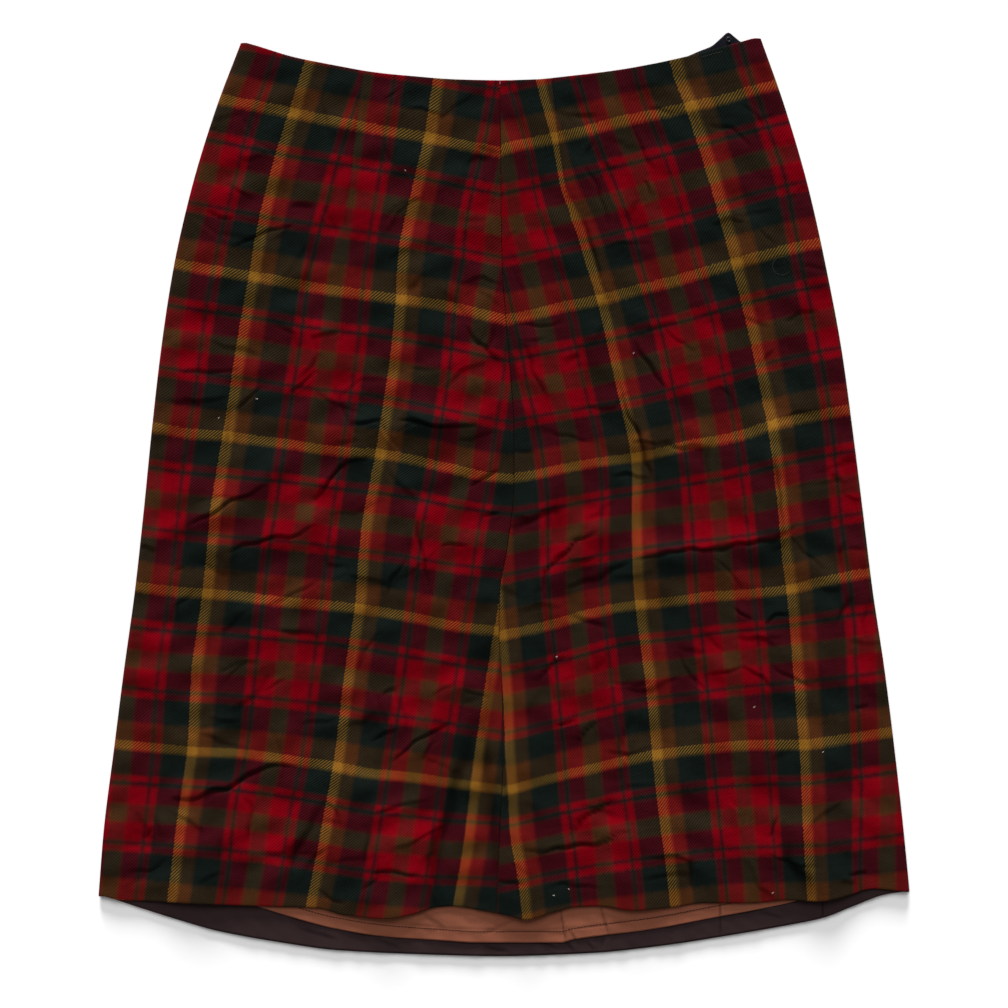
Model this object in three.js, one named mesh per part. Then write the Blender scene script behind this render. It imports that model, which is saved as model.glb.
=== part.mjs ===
// An A-line skirt of wool tartan, laid flat on its back panel.
//
// Millimetres. X runs across the skirt, +Y towards the waist, +Z up from the surface that it lies on.
// The origin is on that surface, under the centre front seam and about halfway down it.

import * as THREE from 'three';
import { mergeVertices } from 'three/addons/utils/BufferGeometryUtils.js';

// Walls, and the clearance that stands for a seam or for two layers that lie together.
const WOOL = 1.6;
const THIN = 1.0;
const GAP = 0.3;

// Levels above the surface. The cloth turns over at the sides, and the side seams run along that turn.
const SIDE_SEAM = 2.1;
const SIDE_ROUND = 4.5;
const FRONT_REST = 5.0;
const FACING_BASE = WOOL + GAP;
const LINING_BASE = FACING_BASE + THIN + GAP;
const HEM_SLACK = 0.2;
const FRONT_AT_HEM = LINING_BASE + THIN + GAP + WOOL + HEM_SLACK;

// Where the front climbs onto the lining, and how far to each side the lining reaches under it.
const CLIMB = { from: -222, to: -252, halfWidth: 262, fade: 26 };

// Corners of the panels, by height on the page: waist and hem, at the centre and at the sides.
const CENTRE = { waist: 305.8, hem: -300.6 };
const LEFT = { waist: 334.2, hem: -287.6 };
const RIGHT = { waist: 334.6, hem: -285.4 };

// How finely each piece is cut up.
const GORE_COLUMNS = 14;
const GORE_ROWS = 42;
const BACK_COLUMNS = 18;
const BACK_ROWS = 22;
const STRIP_ROWS = 4;
const STRIP_STATIONS = 30;
const ROUND_STEPS = 4;

// The side seams, from hem to waist. They are straight below and round in over the hips.
const SIDES = [
  { y: -288, left: -295.0, right: 296.6 },
  { y: -240, left: -291.2, right: 291.9 },
  { y: -182, left: -283.9, right: 285.4 },
  { y: -124, left: -276.6, right: 278.1 },
  { y: -66, left: -268.6, right: 269.4 },
  { y: -7, left: -262.1, right: 262.1 },
  { y: 51, left: -256.3, right: 254.8 },
  { y: 109, left: -249.7, right: 246.8 },
  { y: 167, left: -241.0, right: 235.9 },
  { y: 226, left: -227.9, right: 222.8 },
  { y: 284, left: -210.4, right: 206.0 },
  { y: 337, left: -190.5, right: 187.4 },
];

// The centre front seam, from hem to waist. It wanders where the cloth has shifted.
const SEAM = [
  { y: -303, x: -4.7 },
  { y: -237, x: -2.2 },
  { y: -189, x: 0.0 },
  { y: -138, x: -0.7 },
  { y: -95, x: -2.9 },
  { y: -66, x: -2.2 },
  { y: -36, x: 2.9 },
  { y: 10, x: 8.0 },
  { y: 52, x: 8.0 },
  { y: 94, x: 5.1 },
  { y: 127, x: 2.5 },
  { y: 174, x: -0.7 },
  { y: 306, x: -2.2 },
];

// The front's upper edge, dipping at the centre.
const FRONT_WAIST = [
  { x: -191.5, y: 334.2 },
  { x: -180.5, y: 331.2 },
  { x: -151.4, y: 322.5 },
  { x: -122.3, y: 316.7 },
  { x: -93.2, y: 311.6 },
  { x: -64.1, y: 308.7 },
  { x: -34.9, y: 306.5 },
  { x: -2.2, y: 305.8 },
  { x: 23.3, y: 306.5 },
  { x: 52.4, y: 309.4 },
  { x: 81.5, y: 313.0 },
  { x: 110.7, y: 318.1 },
  { x: 139.8, y: 324.7 },
  { x: 174.7, y: 334.2 },
  { x: 184.0, y: 336.4 },
  { x: 188.3, y: 334.6 },
];

// The back's upper edge lies just inside the front's, but for the corner that shows at the side opening.
const BACK_WAIST = [
  { x: -191.5, y: 333.6 },
  { x: -180.5, y: 329.0 },
  { x: -151.4, y: 320.0 },
  { x: -93.2, y: 309.2 },
  { x: -34.9, y: 304.0 },
  { x: 23.3, y: 304.0 },
  { x: 81.5, y: 310.4 },
  { x: 118.0, y: 317.2 },
  { x: 128.5, y: 321.0 },
  { x: 136.1, y: 324.4 },
  { x: 143.4, y: 327.6 },
  { x: 152.2, y: 331.2 },
  { x: 159.0, y: 337.0 },
  { x: 164.3, y: 341.1 },
  { x: 169.0, y: 337.8 },
  { x: 174.7, y: 333.8 },
  { x: 188.3, y: 332.4 },
];

// The front's lower edge waves where the cloth lifts and falls.
const FRONT_HEM = [
  { x: -294.8, y: -287.6 },
  { x: -280.3, y: -291.2 },
  { x: -243.2, y: -292.7 },
  { x: -179.8, y: -295.6 },
  { x: -135.4, y: -297.0 },
  { x: -115.0, y: -302.1 },
  { x: -85.2, y: -304.3 },
  { x: -66.2, y: -301.4 },
  { x: -48.0, y: -296.3 },
  { x: -37.1, y: -295.6 },
  { x: -16.7, y: -298.5 },
  { x: 3.6, y: -302.1 },
  { x: 16.0, y: -305.0 },
  { x: 34.2, y: -300.7 },
  { x: 52.4, y: -296.3 },
  { x: 71.3, y: -295.6 },
  { x: 93.9, y: -298.5 },
  { x: 122.3, y: -296.3 },
  { x: 147.1, y: -293.4 },
  { x: 179.8, y: -293.4 },
  { x: 208.2, y: -291.2 },
  { x: 228.6, y: -291.9 },
  { x: 249.0, y: -288.3 },
  { x: 269.4, y: -283.2 },
  { x: 289.7, y: -285.0 },
  { x: 296.3, y: -285.4 },
];

// The back's lower edge hangs below the front's as one long bow.
const BACK_HEM = [
  { x: -294.8, y: -287.6 },
  { x: -283.9, y: -291.2 },
  { x: -233.7, y: -307.2 },
  { x: -207.5, y: -314.5 },
  { x: -159.4, y: -323.2 },
  { x: -122.3, y: -328.3 },
  { x: -66.2, y: -331.2 },
  { x: -3.0, y: -332.8 },
  { x: 64.8, y: -330.5 },
  { x: 114.3, y: -325.4 },
  { x: 157.2, y: -318.9 },
  { x: 208.2, y: -310.1 },
  { x: 233.0, y: -305.0 },
  { x: 255.5, y: -296.3 },
  { x: 279.6, y: -287.6 },
  { x: 296.3, y: -285.4 },
];

// The lining's lower edge, a little above the back's.
const LINING_HEM = [
  { x: -246.0, y: -266.0 },
  { x: -215.0, y: -282.0 },
  { x: -179.8, y: -295.6 },
  { x: -150.0, y: -305.0 },
  { x: -122.3, y: -312.3 },
  { x: -85.2, y: -318.1 },
  { x: -48.0, y: -320.7 },
  { x: -16.7, y: -322.5 },
  { x: 42.2, y: -322.5 },
  { x: 51.0, y: -320.3 },
  { x: 106.3, y: -313.0 },
  { x: 157.2, y: -303.6 },
  { x: 187.8, y: -297.8 },
  { x: 208.2, y: -293.4 },
  { x: 232.0, y: -284.0 },
  { x: 258.0, y: -266.0 },
];
const LINING_TOP = -254;

// The hem facing: its depth, how it narrows over the last stretch before each side, and its inset from the edge.
const HEM_FACING = { depth: 62, narrowFrom: 20, narrowTo: -8 };
const FACING_INSET = 0.6;

// The waist facing: where it ends under the front, and its depth.
const WAIST_FACING = { from: 104, to: 183, depth: 32 };

// A small wire eye on the corner of the waist facing.
const EYE = { x: 164.4, y: 335.7, ring: 1.5, wire: 0.4, sides: 8, steps: 16 };

// The largest folds of the front: soft ridges from one end to the other.
const FOLDS = [
  { x0: -85, y0: -306, x1: -104, y1: -211, height: 3.4, width: 22 },
  { x0: 16, y0: -307, x1: 7, y1: -190, height: 3.6, width: 20 },
  { x0: 96, y0: -300, x1: 120, y1: -204, height: 2.6, width: 22 },
  { x0: 238, y0: -290, x1: 214, y1: -190, height: 3.0, width: 20 },
  { x0: -222, y0: -294, x1: -210, y1: -232, height: 2.2, width: 24 },
  { x0: -115, y0: 51, x1: -18, y1: 56, height: 2.8, width: 12 },
  { x0: -205, y0: -9, x1: -166, y1: 20, height: 2.6, width: 12 },
  { x0: -61, y0: -15, x1: -52, y1: -72, height: 2.6, width: 12 },
  { x0: 68, y0: 116, x1: 98, y1: 44, height: 3.0, width: 13 },
  { x0: 194, y0: 44, x1: 199, y1: -22, height: 2.8, width: 13 },
  { x0: 102, y0: -44, x1: 180, y1: -36, height: 2.6, width: 13 },
  { x0: 26, y0: -66, x1: 70, y1: -22, height: 2.4, width: 12 },
  { x0: -202, y0: -38, x1: -139, y1: -20, height: 2.4, width: 12 },
];

// Folds fade out towards the turned edges at the sides.
const FOLD_FADE = 26;

const MATERIALS = {
  tartan: { color: 0x4a1f1a, roughness: 0.92, metalness: 0 },
  hemFacing: { color: 0x302324, roughness: 0.7, metalness: 0 },
  lining: { color: 0x804834, roughness: 0.6, metalness: 0 },
  waistFacing: { color: 0x0f1219, roughness: 0.6, metalness: 0 },
  steel: { color: 0xb8b8b4, roughness: 0.35, metalness: 1 },
};

const { lerp, smoothstep } = THREE.MathUtils;

// Reads a table between its rows as a smooth curve that never swings past them.
function readTable(rows, by, value, at) {
  const last = rows.length - 1;
  const slope = (i) => (rows[i + 1][value] - rows[i][value]) / (rows[i + 1][by] - rows[i][by]);
  const tangent = (i) => {
    if (i === 0 || i === last) {
      return slope(Math.min(i, last - 1));
    }
    const before = slope(i - 1);
    const after = slope(i);
    return before * after > 0 ? (2 * before * after) / (before + after) : 0;
  };
  let i = 0;
  while (i < last - 1 && at > rows[i + 1][by]) {
    i += 1;
  }
  const step = rows[i + 1][by] - rows[i][by];
  const t = THREE.MathUtils.clamp((at - rows[i][by]) / step, 0, 1);
  const rise = t * t * (3 - 2 * t);
  const leave = t * (1 - t) * (1 - t) * step * tangent(i);
  const arrive = t * t * (t - 1) * step * tangent(i + 1);
  return lerp(rows[i][value], rows[i + 1][value], rise) + leave + arrive;
}

const sideX = (side, y) => readTable(SIDES, 'y', side, y);
const seamX = (y) => readTable(SEAM, 'y', 'x', y);
const edgeY = (rows, x) => readTable(rows, 'x', 'y', x);

// The folds' height at one place on the front.
function foldHeight(x, y) {
  let sum = 0;
  for (const fold of FOLDS) {
    const run = new THREE.Vector2(fold.x1 - fold.x0, fold.y1 - fold.y0);
    const length = run.length();
    const from = new THREE.Vector2(x - fold.x0, y - fold.y0);
    const along = from.dot(run) / length;
    const across = from.cross(run) / length;
    const past = Math.max(0, -along, along - length);
    sum += fold.height * Math.exp(-((across / fold.width) ** 2) - (past / fold.width) ** 2);
  }
  const inside = Math.min(x - sideX('left', y), sideX('right', y) - x);
  return sum * smoothstep(inside, SIDE_ROUND, FOLD_FADE);
}

// The level of the front's outer face: it rests on the back, and on the lining near the hem.
function frontLevel(x, y) {
  const overLining = smoothstep(-y, -CLIMB.from, -CLIMB.to);
  const inLining = 1 - smoothstep(Math.abs(x), CLIMB.halfWidth - CLIMB.fade, CLIMB.halfWidth);
  return lerp(FRONT_REST, FRONT_AT_HEM, overLining * inLining) + foldHeight(x, y);
}

// A place on a panel. Across and down run from 0 to 1 between its four edges.
function placeOn(panel, across, down) {
  const rowX = (share) => {
    const startY = lerp(panel.start.waist, panel.start.hem, share);
    const endY = lerp(panel.end.waist, panel.end.hem, share);
    return lerp(panel.startX(startY), panel.endX(endY), across);
  };
  const y = lerp(edgeY(panel.waist, rowX(0)), edgeY(panel.hem, rowX(1)), down);
  return { x: rowX(down), y };
}

// The places from 0 to 1 at even steps.
const evenSteps = (count) => Array.from({ length: count + 1 }, (_, i) => i / count);

// Joins closed rings of points into one closed wall. A ring runs out along one face and back along the other.
function wallThroughRings(rings) {
  const count = rings[0].length;
  const positions = rings.flat().flatMap((point) => point.toArray());
  const indices = [];
  const addQuad = (a, b, c, d) => indices.push(a, b, c, a, c, d);
  for (let ring = 0; ring + 1 < rings.length; ring += 1) {
    for (let i = 0; i < count; i += 1) {
      const here = ring * count + i;
      const next = ring * count + ((i + 1) % count);
      addQuad(here, next, next + count, here + count);
    }
  }
  const lastRing = (rings.length - 1) * count;
  for (let i = 0; i + 1 < count / 2; i += 1) {
    const back = count - 1 - i;
    addQuad(i, back, back - 1, i + 1);
    addQuad(lastRing + i, lastRing + i + 1, lastRing + back - 1, lastRing + back);
  }
  const geometry = new THREE.BufferGeometry();
  geometry.setAttribute('position', new THREE.Float32BufferAttribute(positions, 3));
  geometry.setIndex(indices);
  return facingOut(geometry);
}

// Turns the faces out where the rings were run the other way round.
function facingOut(geometry) {
  const index = geometry.index.array;
  const corner = (i) => new THREE.Vector3().fromBufferAttribute(geometry.attributes.position, index[i]);
  let volume = 0;
  for (let i = 0; i < index.length; i += 3) {
    volume += corner(i).dot(corner(i + 1).cross(corner(i + 2)));
  }
  if (volume < 0) {
    for (let i = 0; i < index.length; i += 3) {
      [index[i + 1], index[i + 2]] = [index[i + 2], index[i + 1]];
    }
  }
  geometry.computeVertexNormals();
  return geometry;
}

// One ring of a wall, from the points of its two faces.
const closeRing = (outer, inner) => [...outer, ...inner.reverse()];

// The quarter turn of a wall at a side: out by SIDE_ROUND, and from the levels of its faces to the seam's level.
function turnedEdge({ x, y }, sign, levels) {
  const turn = { outer: [], inner: [] };
  for (let step = 1; step <= ROUND_STEPS; step += 1) {
    const angle = (step / ROUND_STEPS) * (Math.PI / 2);
    const reach = sign * Math.sin(angle);
    const stay = Math.cos(angle);
    const outerZ = lerp(levels.seam, levels.outer, stay);
    const innerZ = lerp(levels.seam, levels.inner, stay);
    turn.outer.push(new THREE.Vector3(x + reach * SIDE_ROUND, y, outerZ));
    turn.inner.push(new THREE.Vector3(x + reach * (SIDE_ROUND - WOOL), y, innerZ));
  }
  return turn;
}

// One half of the front, from the centre seam to the turned edge at its side.
function makeGore(side) {
  const sign = side === 'left' ? -1 : 1;
  const panel = {
    start: CENTRE,
    end: side === 'left' ? LEFT : RIGHT,
    startX: (y) => seamX(y) + sign * (GAP / 2),
    endX: (y) => sideX(side, y) - sign * SIDE_ROUND,
    waist: FRONT_WAIST,
    hem: FRONT_HEM,
  };
  const rings = evenSteps(GORE_ROWS).map((down) => {
    const places = evenSteps(GORE_COLUMNS).map((across) => placeOn(panel, across, down));
    const outer = places.map(({ x, y }) => new THREE.Vector3(x, y, frontLevel(x, y)));
    const inner = outer.map((point) => new THREE.Vector3(point.x, point.y, point.z - WOOL));
    const levels = { outer: outer[GORE_COLUMNS].z, inner: inner[GORE_COLUMNS].z, seam: SIDE_SEAM + GAP };
    const turn = turnedEdge(places[GORE_COLUMNS], sign, levels);
    return closeRing([...outer, ...turn.outer], [...inner, ...turn.inner]);
  });
  return wallThroughRings(rings);
}

const BACK_PANEL = {
  start: LEFT,
  end: RIGHT,
  startX: (y) => sideX('left', y) + SIDE_ROUND,
  endX: (y) => sideX('right', y) - SIDE_ROUND,
  waist: BACK_WAIST,
  hem: BACK_HEM,
};

// Columns of the back: even ones, then one at each point of its waist near the corner that shows.
function backColumns() {
  const from = BACK_PANEL.startX(LEFT.waist);
  const to = BACK_PANEL.endX(RIGHT.waist);
  const corner = BACK_WAIST.map(({ x }) => x).filter((x) => x > WAIST_FACING.from && x < to);
  const shares = corner.map((x) => (x - from) / (to - from));
  const even = evenSteps(BACK_COLUMNS).map((share) => share * shares[0]);
  return [...even, ...shares.slice(1), 1];
}

// The back lies flat on the surface and turns up at both sides.
function makeBack() {
  const columns = backColumns();
  const rings = evenSteps(BACK_ROWS).map((down) => {
    const places = columns.map((across) => placeOn(BACK_PANEL, across, down));
    const outer = places.map(({ x, y }) => new THREE.Vector3(x, y, 0));
    const inner = places.map(({ x, y }) => new THREE.Vector3(x, y, WOOL));
    const levels = { outer: 0, inner: WOOL, seam: SIDE_SEAM };
    const left = turnedEdge(places[0], -1, levels);
    const right = turnedEdge(places[places.length - 1], 1, levels);
    return closeRing(
      [...left.outer.reverse(), ...outer, ...right.outer],
      [...left.inner.reverse(), ...inner, ...right.inner],
    );
  });
  return wallThroughRings(rings);
}

// A thin strip that lies flat at one level, between an upper and a lower edge given by x.
function makeStrip(stations, upperY, lowerY, base) {
  const rings = stations.map((x) => {
    const face = evenSteps(STRIP_ROWS).map((down) => ({ x, y: lerp(upperY(x), lowerY(x), down) }));
    const top = face.map(({ y }) => new THREE.Vector3(x, y, base + THIN));
    const under = face.map(({ y }) => new THREE.Vector3(x, y, base));
    return closeRing(top, under);
  });
  return wallThroughRings(rings);
}

// The dark facing turned up inside the back's hem.
function makeHemFacing() {
  const reach = -sideX('left', LEFT.hem) - SIDE_ROUND - FACING_INSET;
  const stations = evenSteps(STRIP_STATIONS).map((share) => lerp(-reach, reach, share));
  const lower = (x) => edgeY(BACK_HEM, x) + FACING_INSET;
  const share = (x) => smoothstep(reach - Math.abs(x), HEM_FACING.narrowTo, HEM_FACING.narrowFrom);
  const upper = (x) => lower(x) + HEM_FACING.depth * share(x);
  return makeStrip(stations, upper, lower, FACING_BASE);
}

// The stretch of lining that hangs out under the front's hem.
function makeLining() {
  const first = LINING_HEM[0].x;
  const last = LINING_HEM[LINING_HEM.length - 1].x;
  const stations = evenSteps(STRIP_STATIONS).map((share) => lerp(first, last, share));
  return makeStrip(stations, () => LINING_TOP, (x) => edgeY(LINING_HEM, x), LINING_BASE);
}

// The facing on the inside of the back's waist, at the corner that shows.
function makeWaistFacing() {
  const corner = BACK_WAIST.map(({ x }) => x).filter((x) => x > WAIST_FACING.from && x < WAIST_FACING.to);
  const stations = [WAIST_FACING.from, ...corner, WAIST_FACING.to];
  const upper = (x) => edgeY(BACK_WAIST, x) - FACING_INSET;
  const lower = (x) => edgeY(FRONT_WAIST, x) - WAIST_FACING.depth;
  return makeStrip(stations, upper, lower, FACING_BASE);
}

// The eye lies on the waist facing.
function makeEye() {
  const geometry = new THREE.TorusGeometry(EYE.ring, EYE.wire, EYE.sides, EYE.steps);
  geometry.deleteAttribute('normal');
  geometry.deleteAttribute('uv');
  geometry.translate(EYE.x, EYE.y, FACING_BASE + THIN + GAP + EYE.wire);
  const merged = mergeVertices(geometry);
  merged.computeVertexNormals();
  return merged;
}

const skirt = new THREE.Group();

// Adds one named piece to the skirt.
function addPiece(name, geometry, finish) {
  const piece = new THREE.Mesh(geometry, new THREE.MeshStandardMaterial(finish));
  piece.name = name;
  skirt.add(piece);
}

addPiece('front_left', makeGore('left'), MATERIALS.tartan);
addPiece('front_right', makeGore('right'), MATERIALS.tartan);
addPiece('back', makeBack(), MATERIALS.tartan);
addPiece('hem_facing', makeHemFacing(), MATERIALS.hemFacing);
addPiece('lining', makeLining(), MATERIALS.lining);
addPiece('waist_facing', makeWaistFacing(), MATERIALS.waistFacing);
addPiece('waist_eye', makeEye(), MATERIALS.steel);

export default skirt;
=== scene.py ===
"""The looks of an A-line skirt of wool tartan that lies flat on its back panel."""

from __future__ import annotations

import logging
import math
from dataclasses import dataclass
from enum import Enum
from typing import Any, Callable

import bmesh
import bpy
import numpy as np
from bpy.types import ColorRamp, Material, Mesh, Node, NodeSocket, Object
from mathutils import Matrix, Vector


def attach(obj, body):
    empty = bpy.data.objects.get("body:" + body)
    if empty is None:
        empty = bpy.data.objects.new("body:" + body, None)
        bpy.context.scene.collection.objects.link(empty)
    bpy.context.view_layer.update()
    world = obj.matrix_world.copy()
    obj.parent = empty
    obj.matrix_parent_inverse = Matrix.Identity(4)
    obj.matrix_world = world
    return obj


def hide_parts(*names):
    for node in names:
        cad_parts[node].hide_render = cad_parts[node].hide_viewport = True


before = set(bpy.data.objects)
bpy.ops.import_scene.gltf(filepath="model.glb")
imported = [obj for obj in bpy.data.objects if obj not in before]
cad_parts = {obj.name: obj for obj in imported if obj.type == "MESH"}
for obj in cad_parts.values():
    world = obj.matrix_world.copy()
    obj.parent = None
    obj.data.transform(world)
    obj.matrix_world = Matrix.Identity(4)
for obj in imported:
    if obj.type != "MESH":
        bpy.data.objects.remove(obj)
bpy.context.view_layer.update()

LOG = logging.getLogger("skirt")
MM = 0.001
TURN = 2.0 * math.pi

Array = np.ndarray
Spot = tuple[float, float]
Pair = tuple[float, float]
Shade = tuple[float, float, float, float]

# Walls and levels in millimetres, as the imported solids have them.
WOOL = 1.6
THIN = 1.0
GAP = 0.3
SIDE_SEAM = 2.1
SIDE_ROUND = 4.5
FRONT_REST = 5.0
FRONT_CLEARANCE = 0.2
FACING_BASE = WOOL + GAP
LINING_BASE = FACING_BASE + THIN + GAP
FRONT_AT_HEM = LINING_BASE + THIN + GAP + WOOL + FRONT_CLEARANCE
LINING_TOP = -254.0

# Where the front climbs onto the lining: by the way down the page, and by the way out from the middle.
CLIMB_DOWN = (222.0, 252.0)
CLIMB_OUT = (236.0, 262.0)

# The upper and lower end of each upright edge, up the page.
SEAM_SPAN = (305.8, -300.6)
LEFT_SPAN = (334.2, -287.6)
RIGHT_SPAN = (334.6, -285.4)

# A distance that counts as endless, and one that counts as nothing.
FAR_AWAY = 1e9
NEXT_TO_NOTHING = 1e-9

# The size of one repeat of the tartan, across and down, and the pitch of its twill.
REPEAT_ACROSS = 0.113
REPEAT_DOWN = 0.117
TWILL_PITCH = 0.00245

# How far the darker of two felted yarns outweighs the brighter one.
FELTING = 8.0


def smoothstep(value: Array, low: float, high: float) -> Array:
    """Rise softly from 0 at low to 1 at high."""
    share = np.clip((value - low) / (high - low), 0.0, 1.0)
    return share * share * (3.0 - 2.0 * share)


@dataclass(frozen=True)
class Curve:
    """A smooth curve through a short table, which never swings past its rows."""

    rows: tuple[Spot, ...]

    def at(self, where: Any) -> Array:
        """Read the curve.

        Args:
            where: Places along the table's first column.

        Returns:
            The second column's values there, held level past both ends.
        """
        keys, values = np.array(self.rows, dtype=float).T
        step = np.diff(keys)
        slope = np.diff(values) / step
        tangent = np.zeros(len(keys))
        tangent[0] = slope[0]
        tangent[-1] = slope[-1]
        product = slope[:-1] * slope[1:]
        both = slope[:-1] + slope[1:]
        tangent[1:-1] = np.divide(2.0 * product, both, out=np.zeros_like(both), where=product > 0)
        i = np.clip(np.searchsorted(keys, where) - 1, 0, len(step) - 1)
        t = np.clip((where - keys[i]) / step[i], 0.0, 1.0)
        rise = t * t * (3.0 - 2.0 * t)
        leave = t * (1.0 - t) ** 2 * step[i] * tangent[i]
        arrive = t * t * (t - 1.0) * step[i] * tangent[i + 1]
        return values[i] + (values[i + 1] - values[i]) * rise + leave + arrive


# The skirt's edges in millimetres: the sides and the centre front seam by height, the others by width.
LEFT_SIDE = Curve((
    (-288, -295.0), (-240, -291.2), (-182, -283.9), (-124, -276.6), (-66, -268.6), (-7, -262.1),
    (51, -256.3), (109, -249.7), (167, -241.0), (226, -227.9), (284, -210.4), (337, -190.5),
))
RIGHT_SIDE = Curve((
    (-288, 296.6), (-240, 291.9), (-182, 285.4), (-124, 278.1), (-66, 269.4), (-7, 262.1),
    (51, 254.8), (109, 246.8), (167, 235.9), (226, 222.8), (284, 206.0), (337, 187.4),
))
CENTRE_SEAM = Curve((
    (-303, -4.7), (-237, -2.2), (-189, 0.0), (-138, -0.7), (-95, -2.9), (-66, -2.2), (-36, 2.9),
    (10, 8.0), (52, 8.0), (94, 5.1), (127, 2.5), (174, -0.7), (306, -2.2),
))
FRONT_WAIST = Curve((
    (-191.5, 334.2), (-180.5, 331.2), (-151.4, 322.5), (-122.3, 316.7), (-93.2, 311.6),
    (-64.1, 308.7), (-34.9, 306.5), (-2.2, 305.8), (23.3, 306.5), (52.4, 309.4), (81.5, 313.0),
    (110.7, 318.1), (139.8, 324.7), (174.7, 334.2), (184.0, 336.4), (188.3, 334.6),
))
BACK_WAIST = Curve((
    (-191.5, 333.6), (-180.5, 329.0), (-151.4, 320.0), (-93.2, 309.2), (-34.9, 304.0),
    (23.3, 304.0), (81.5, 310.4), (118.0, 317.2), (128.5, 321.0), (136.1, 324.4), (143.4, 327.6),
    (152.2, 331.2), (159.0, 337.0), (164.3, 341.1), (169.0, 337.8), (174.7, 333.8), (188.3, 332.4),
))
FRONT_HEM = Curve((
    (-294.8, -287.6), (-280.3, -291.2), (-243.2, -292.7), (-179.8, -295.6), (-135.4, -297.0),
    (-115.0, -302.1), (-85.2, -304.3), (-66.2, -301.4), (-48.0, -296.3), (-37.1, -295.6),
    (-16.7, -298.5), (3.6, -302.1), (16.0, -305.0), (34.2, -300.7), (52.4, -296.3),
    (71.3, -295.6), (93.9, -298.5), (122.3, -296.3), (147.1, -293.4), (179.8, -293.4),
    (208.2, -291.2), (228.6, -291.9), (249.0, -288.3), (269.4, -283.2), (289.7, -285.0),
    (296.3, -285.4),
))
BACK_HEM = Curve((
    (-294.8, -287.6), (-283.9, -291.2), (-233.7, -307.2), (-207.5, -314.5), (-159.4, -323.2),
    (-122.3, -328.3), (-66.2, -331.2), (-3.0, -332.8), (64.8, -330.5), (114.3, -325.4),
    (157.2, -318.9), (208.2, -310.1), (233.0, -305.0), (255.5, -296.3), (279.6, -287.6),
    (296.3, -285.4),
))
LINING_HEM = Curve((
    (-246.0, -266.0), (-215.0, -282.0), (-179.8, -295.6), (-150.0, -305.0), (-122.3, -312.3),
    (-85.2, -318.1), (-48.0, -320.7), (-16.7, -322.5), (42.2, -322.5), (51.0, -320.3),
    (106.3, -313.0), (157.2, -303.6), (187.8, -297.8), (208.2, -293.4), (232.0, -284.0),
    (258.0, -266.0),
))


@dataclass(frozen=True)
class Ripple:
    """An unevenness made of a few slanting waves, the same on every run.

    Attributes:
        height: About how far it rises and sinks, in millimetres.
        shortest: The shortest wave.
        longest: The longest wave.
        waves: How many waves there are.
    """

    height: float
    shortest: float
    longest: float
    waves: int = 14

    def at(self, x: Array, y: Array, seed: int) -> Array:
        """Give its height at each place, with the waves that the seed picks.

        Args:
            x: The places' widths.
            y: The places' heights on the page.
            seed: Picks the waves.

        Returns:
            The heights, in millimetres.
        """
        rng = np.random.default_rng(seed)
        total = np.zeros_like(x)
        for _ in range(self.waves):
            length = rng.uniform(self.shortest, self.longest)
            heading = rng.uniform(0.0, TURN)
            start = rng.uniform(0.0, TURN)
            along = x * math.cos(heading) + y * math.sin(heading)
            total += np.sin(along * TURN / length + start)
        return total * self.height / math.sqrt(self.waves)


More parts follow.
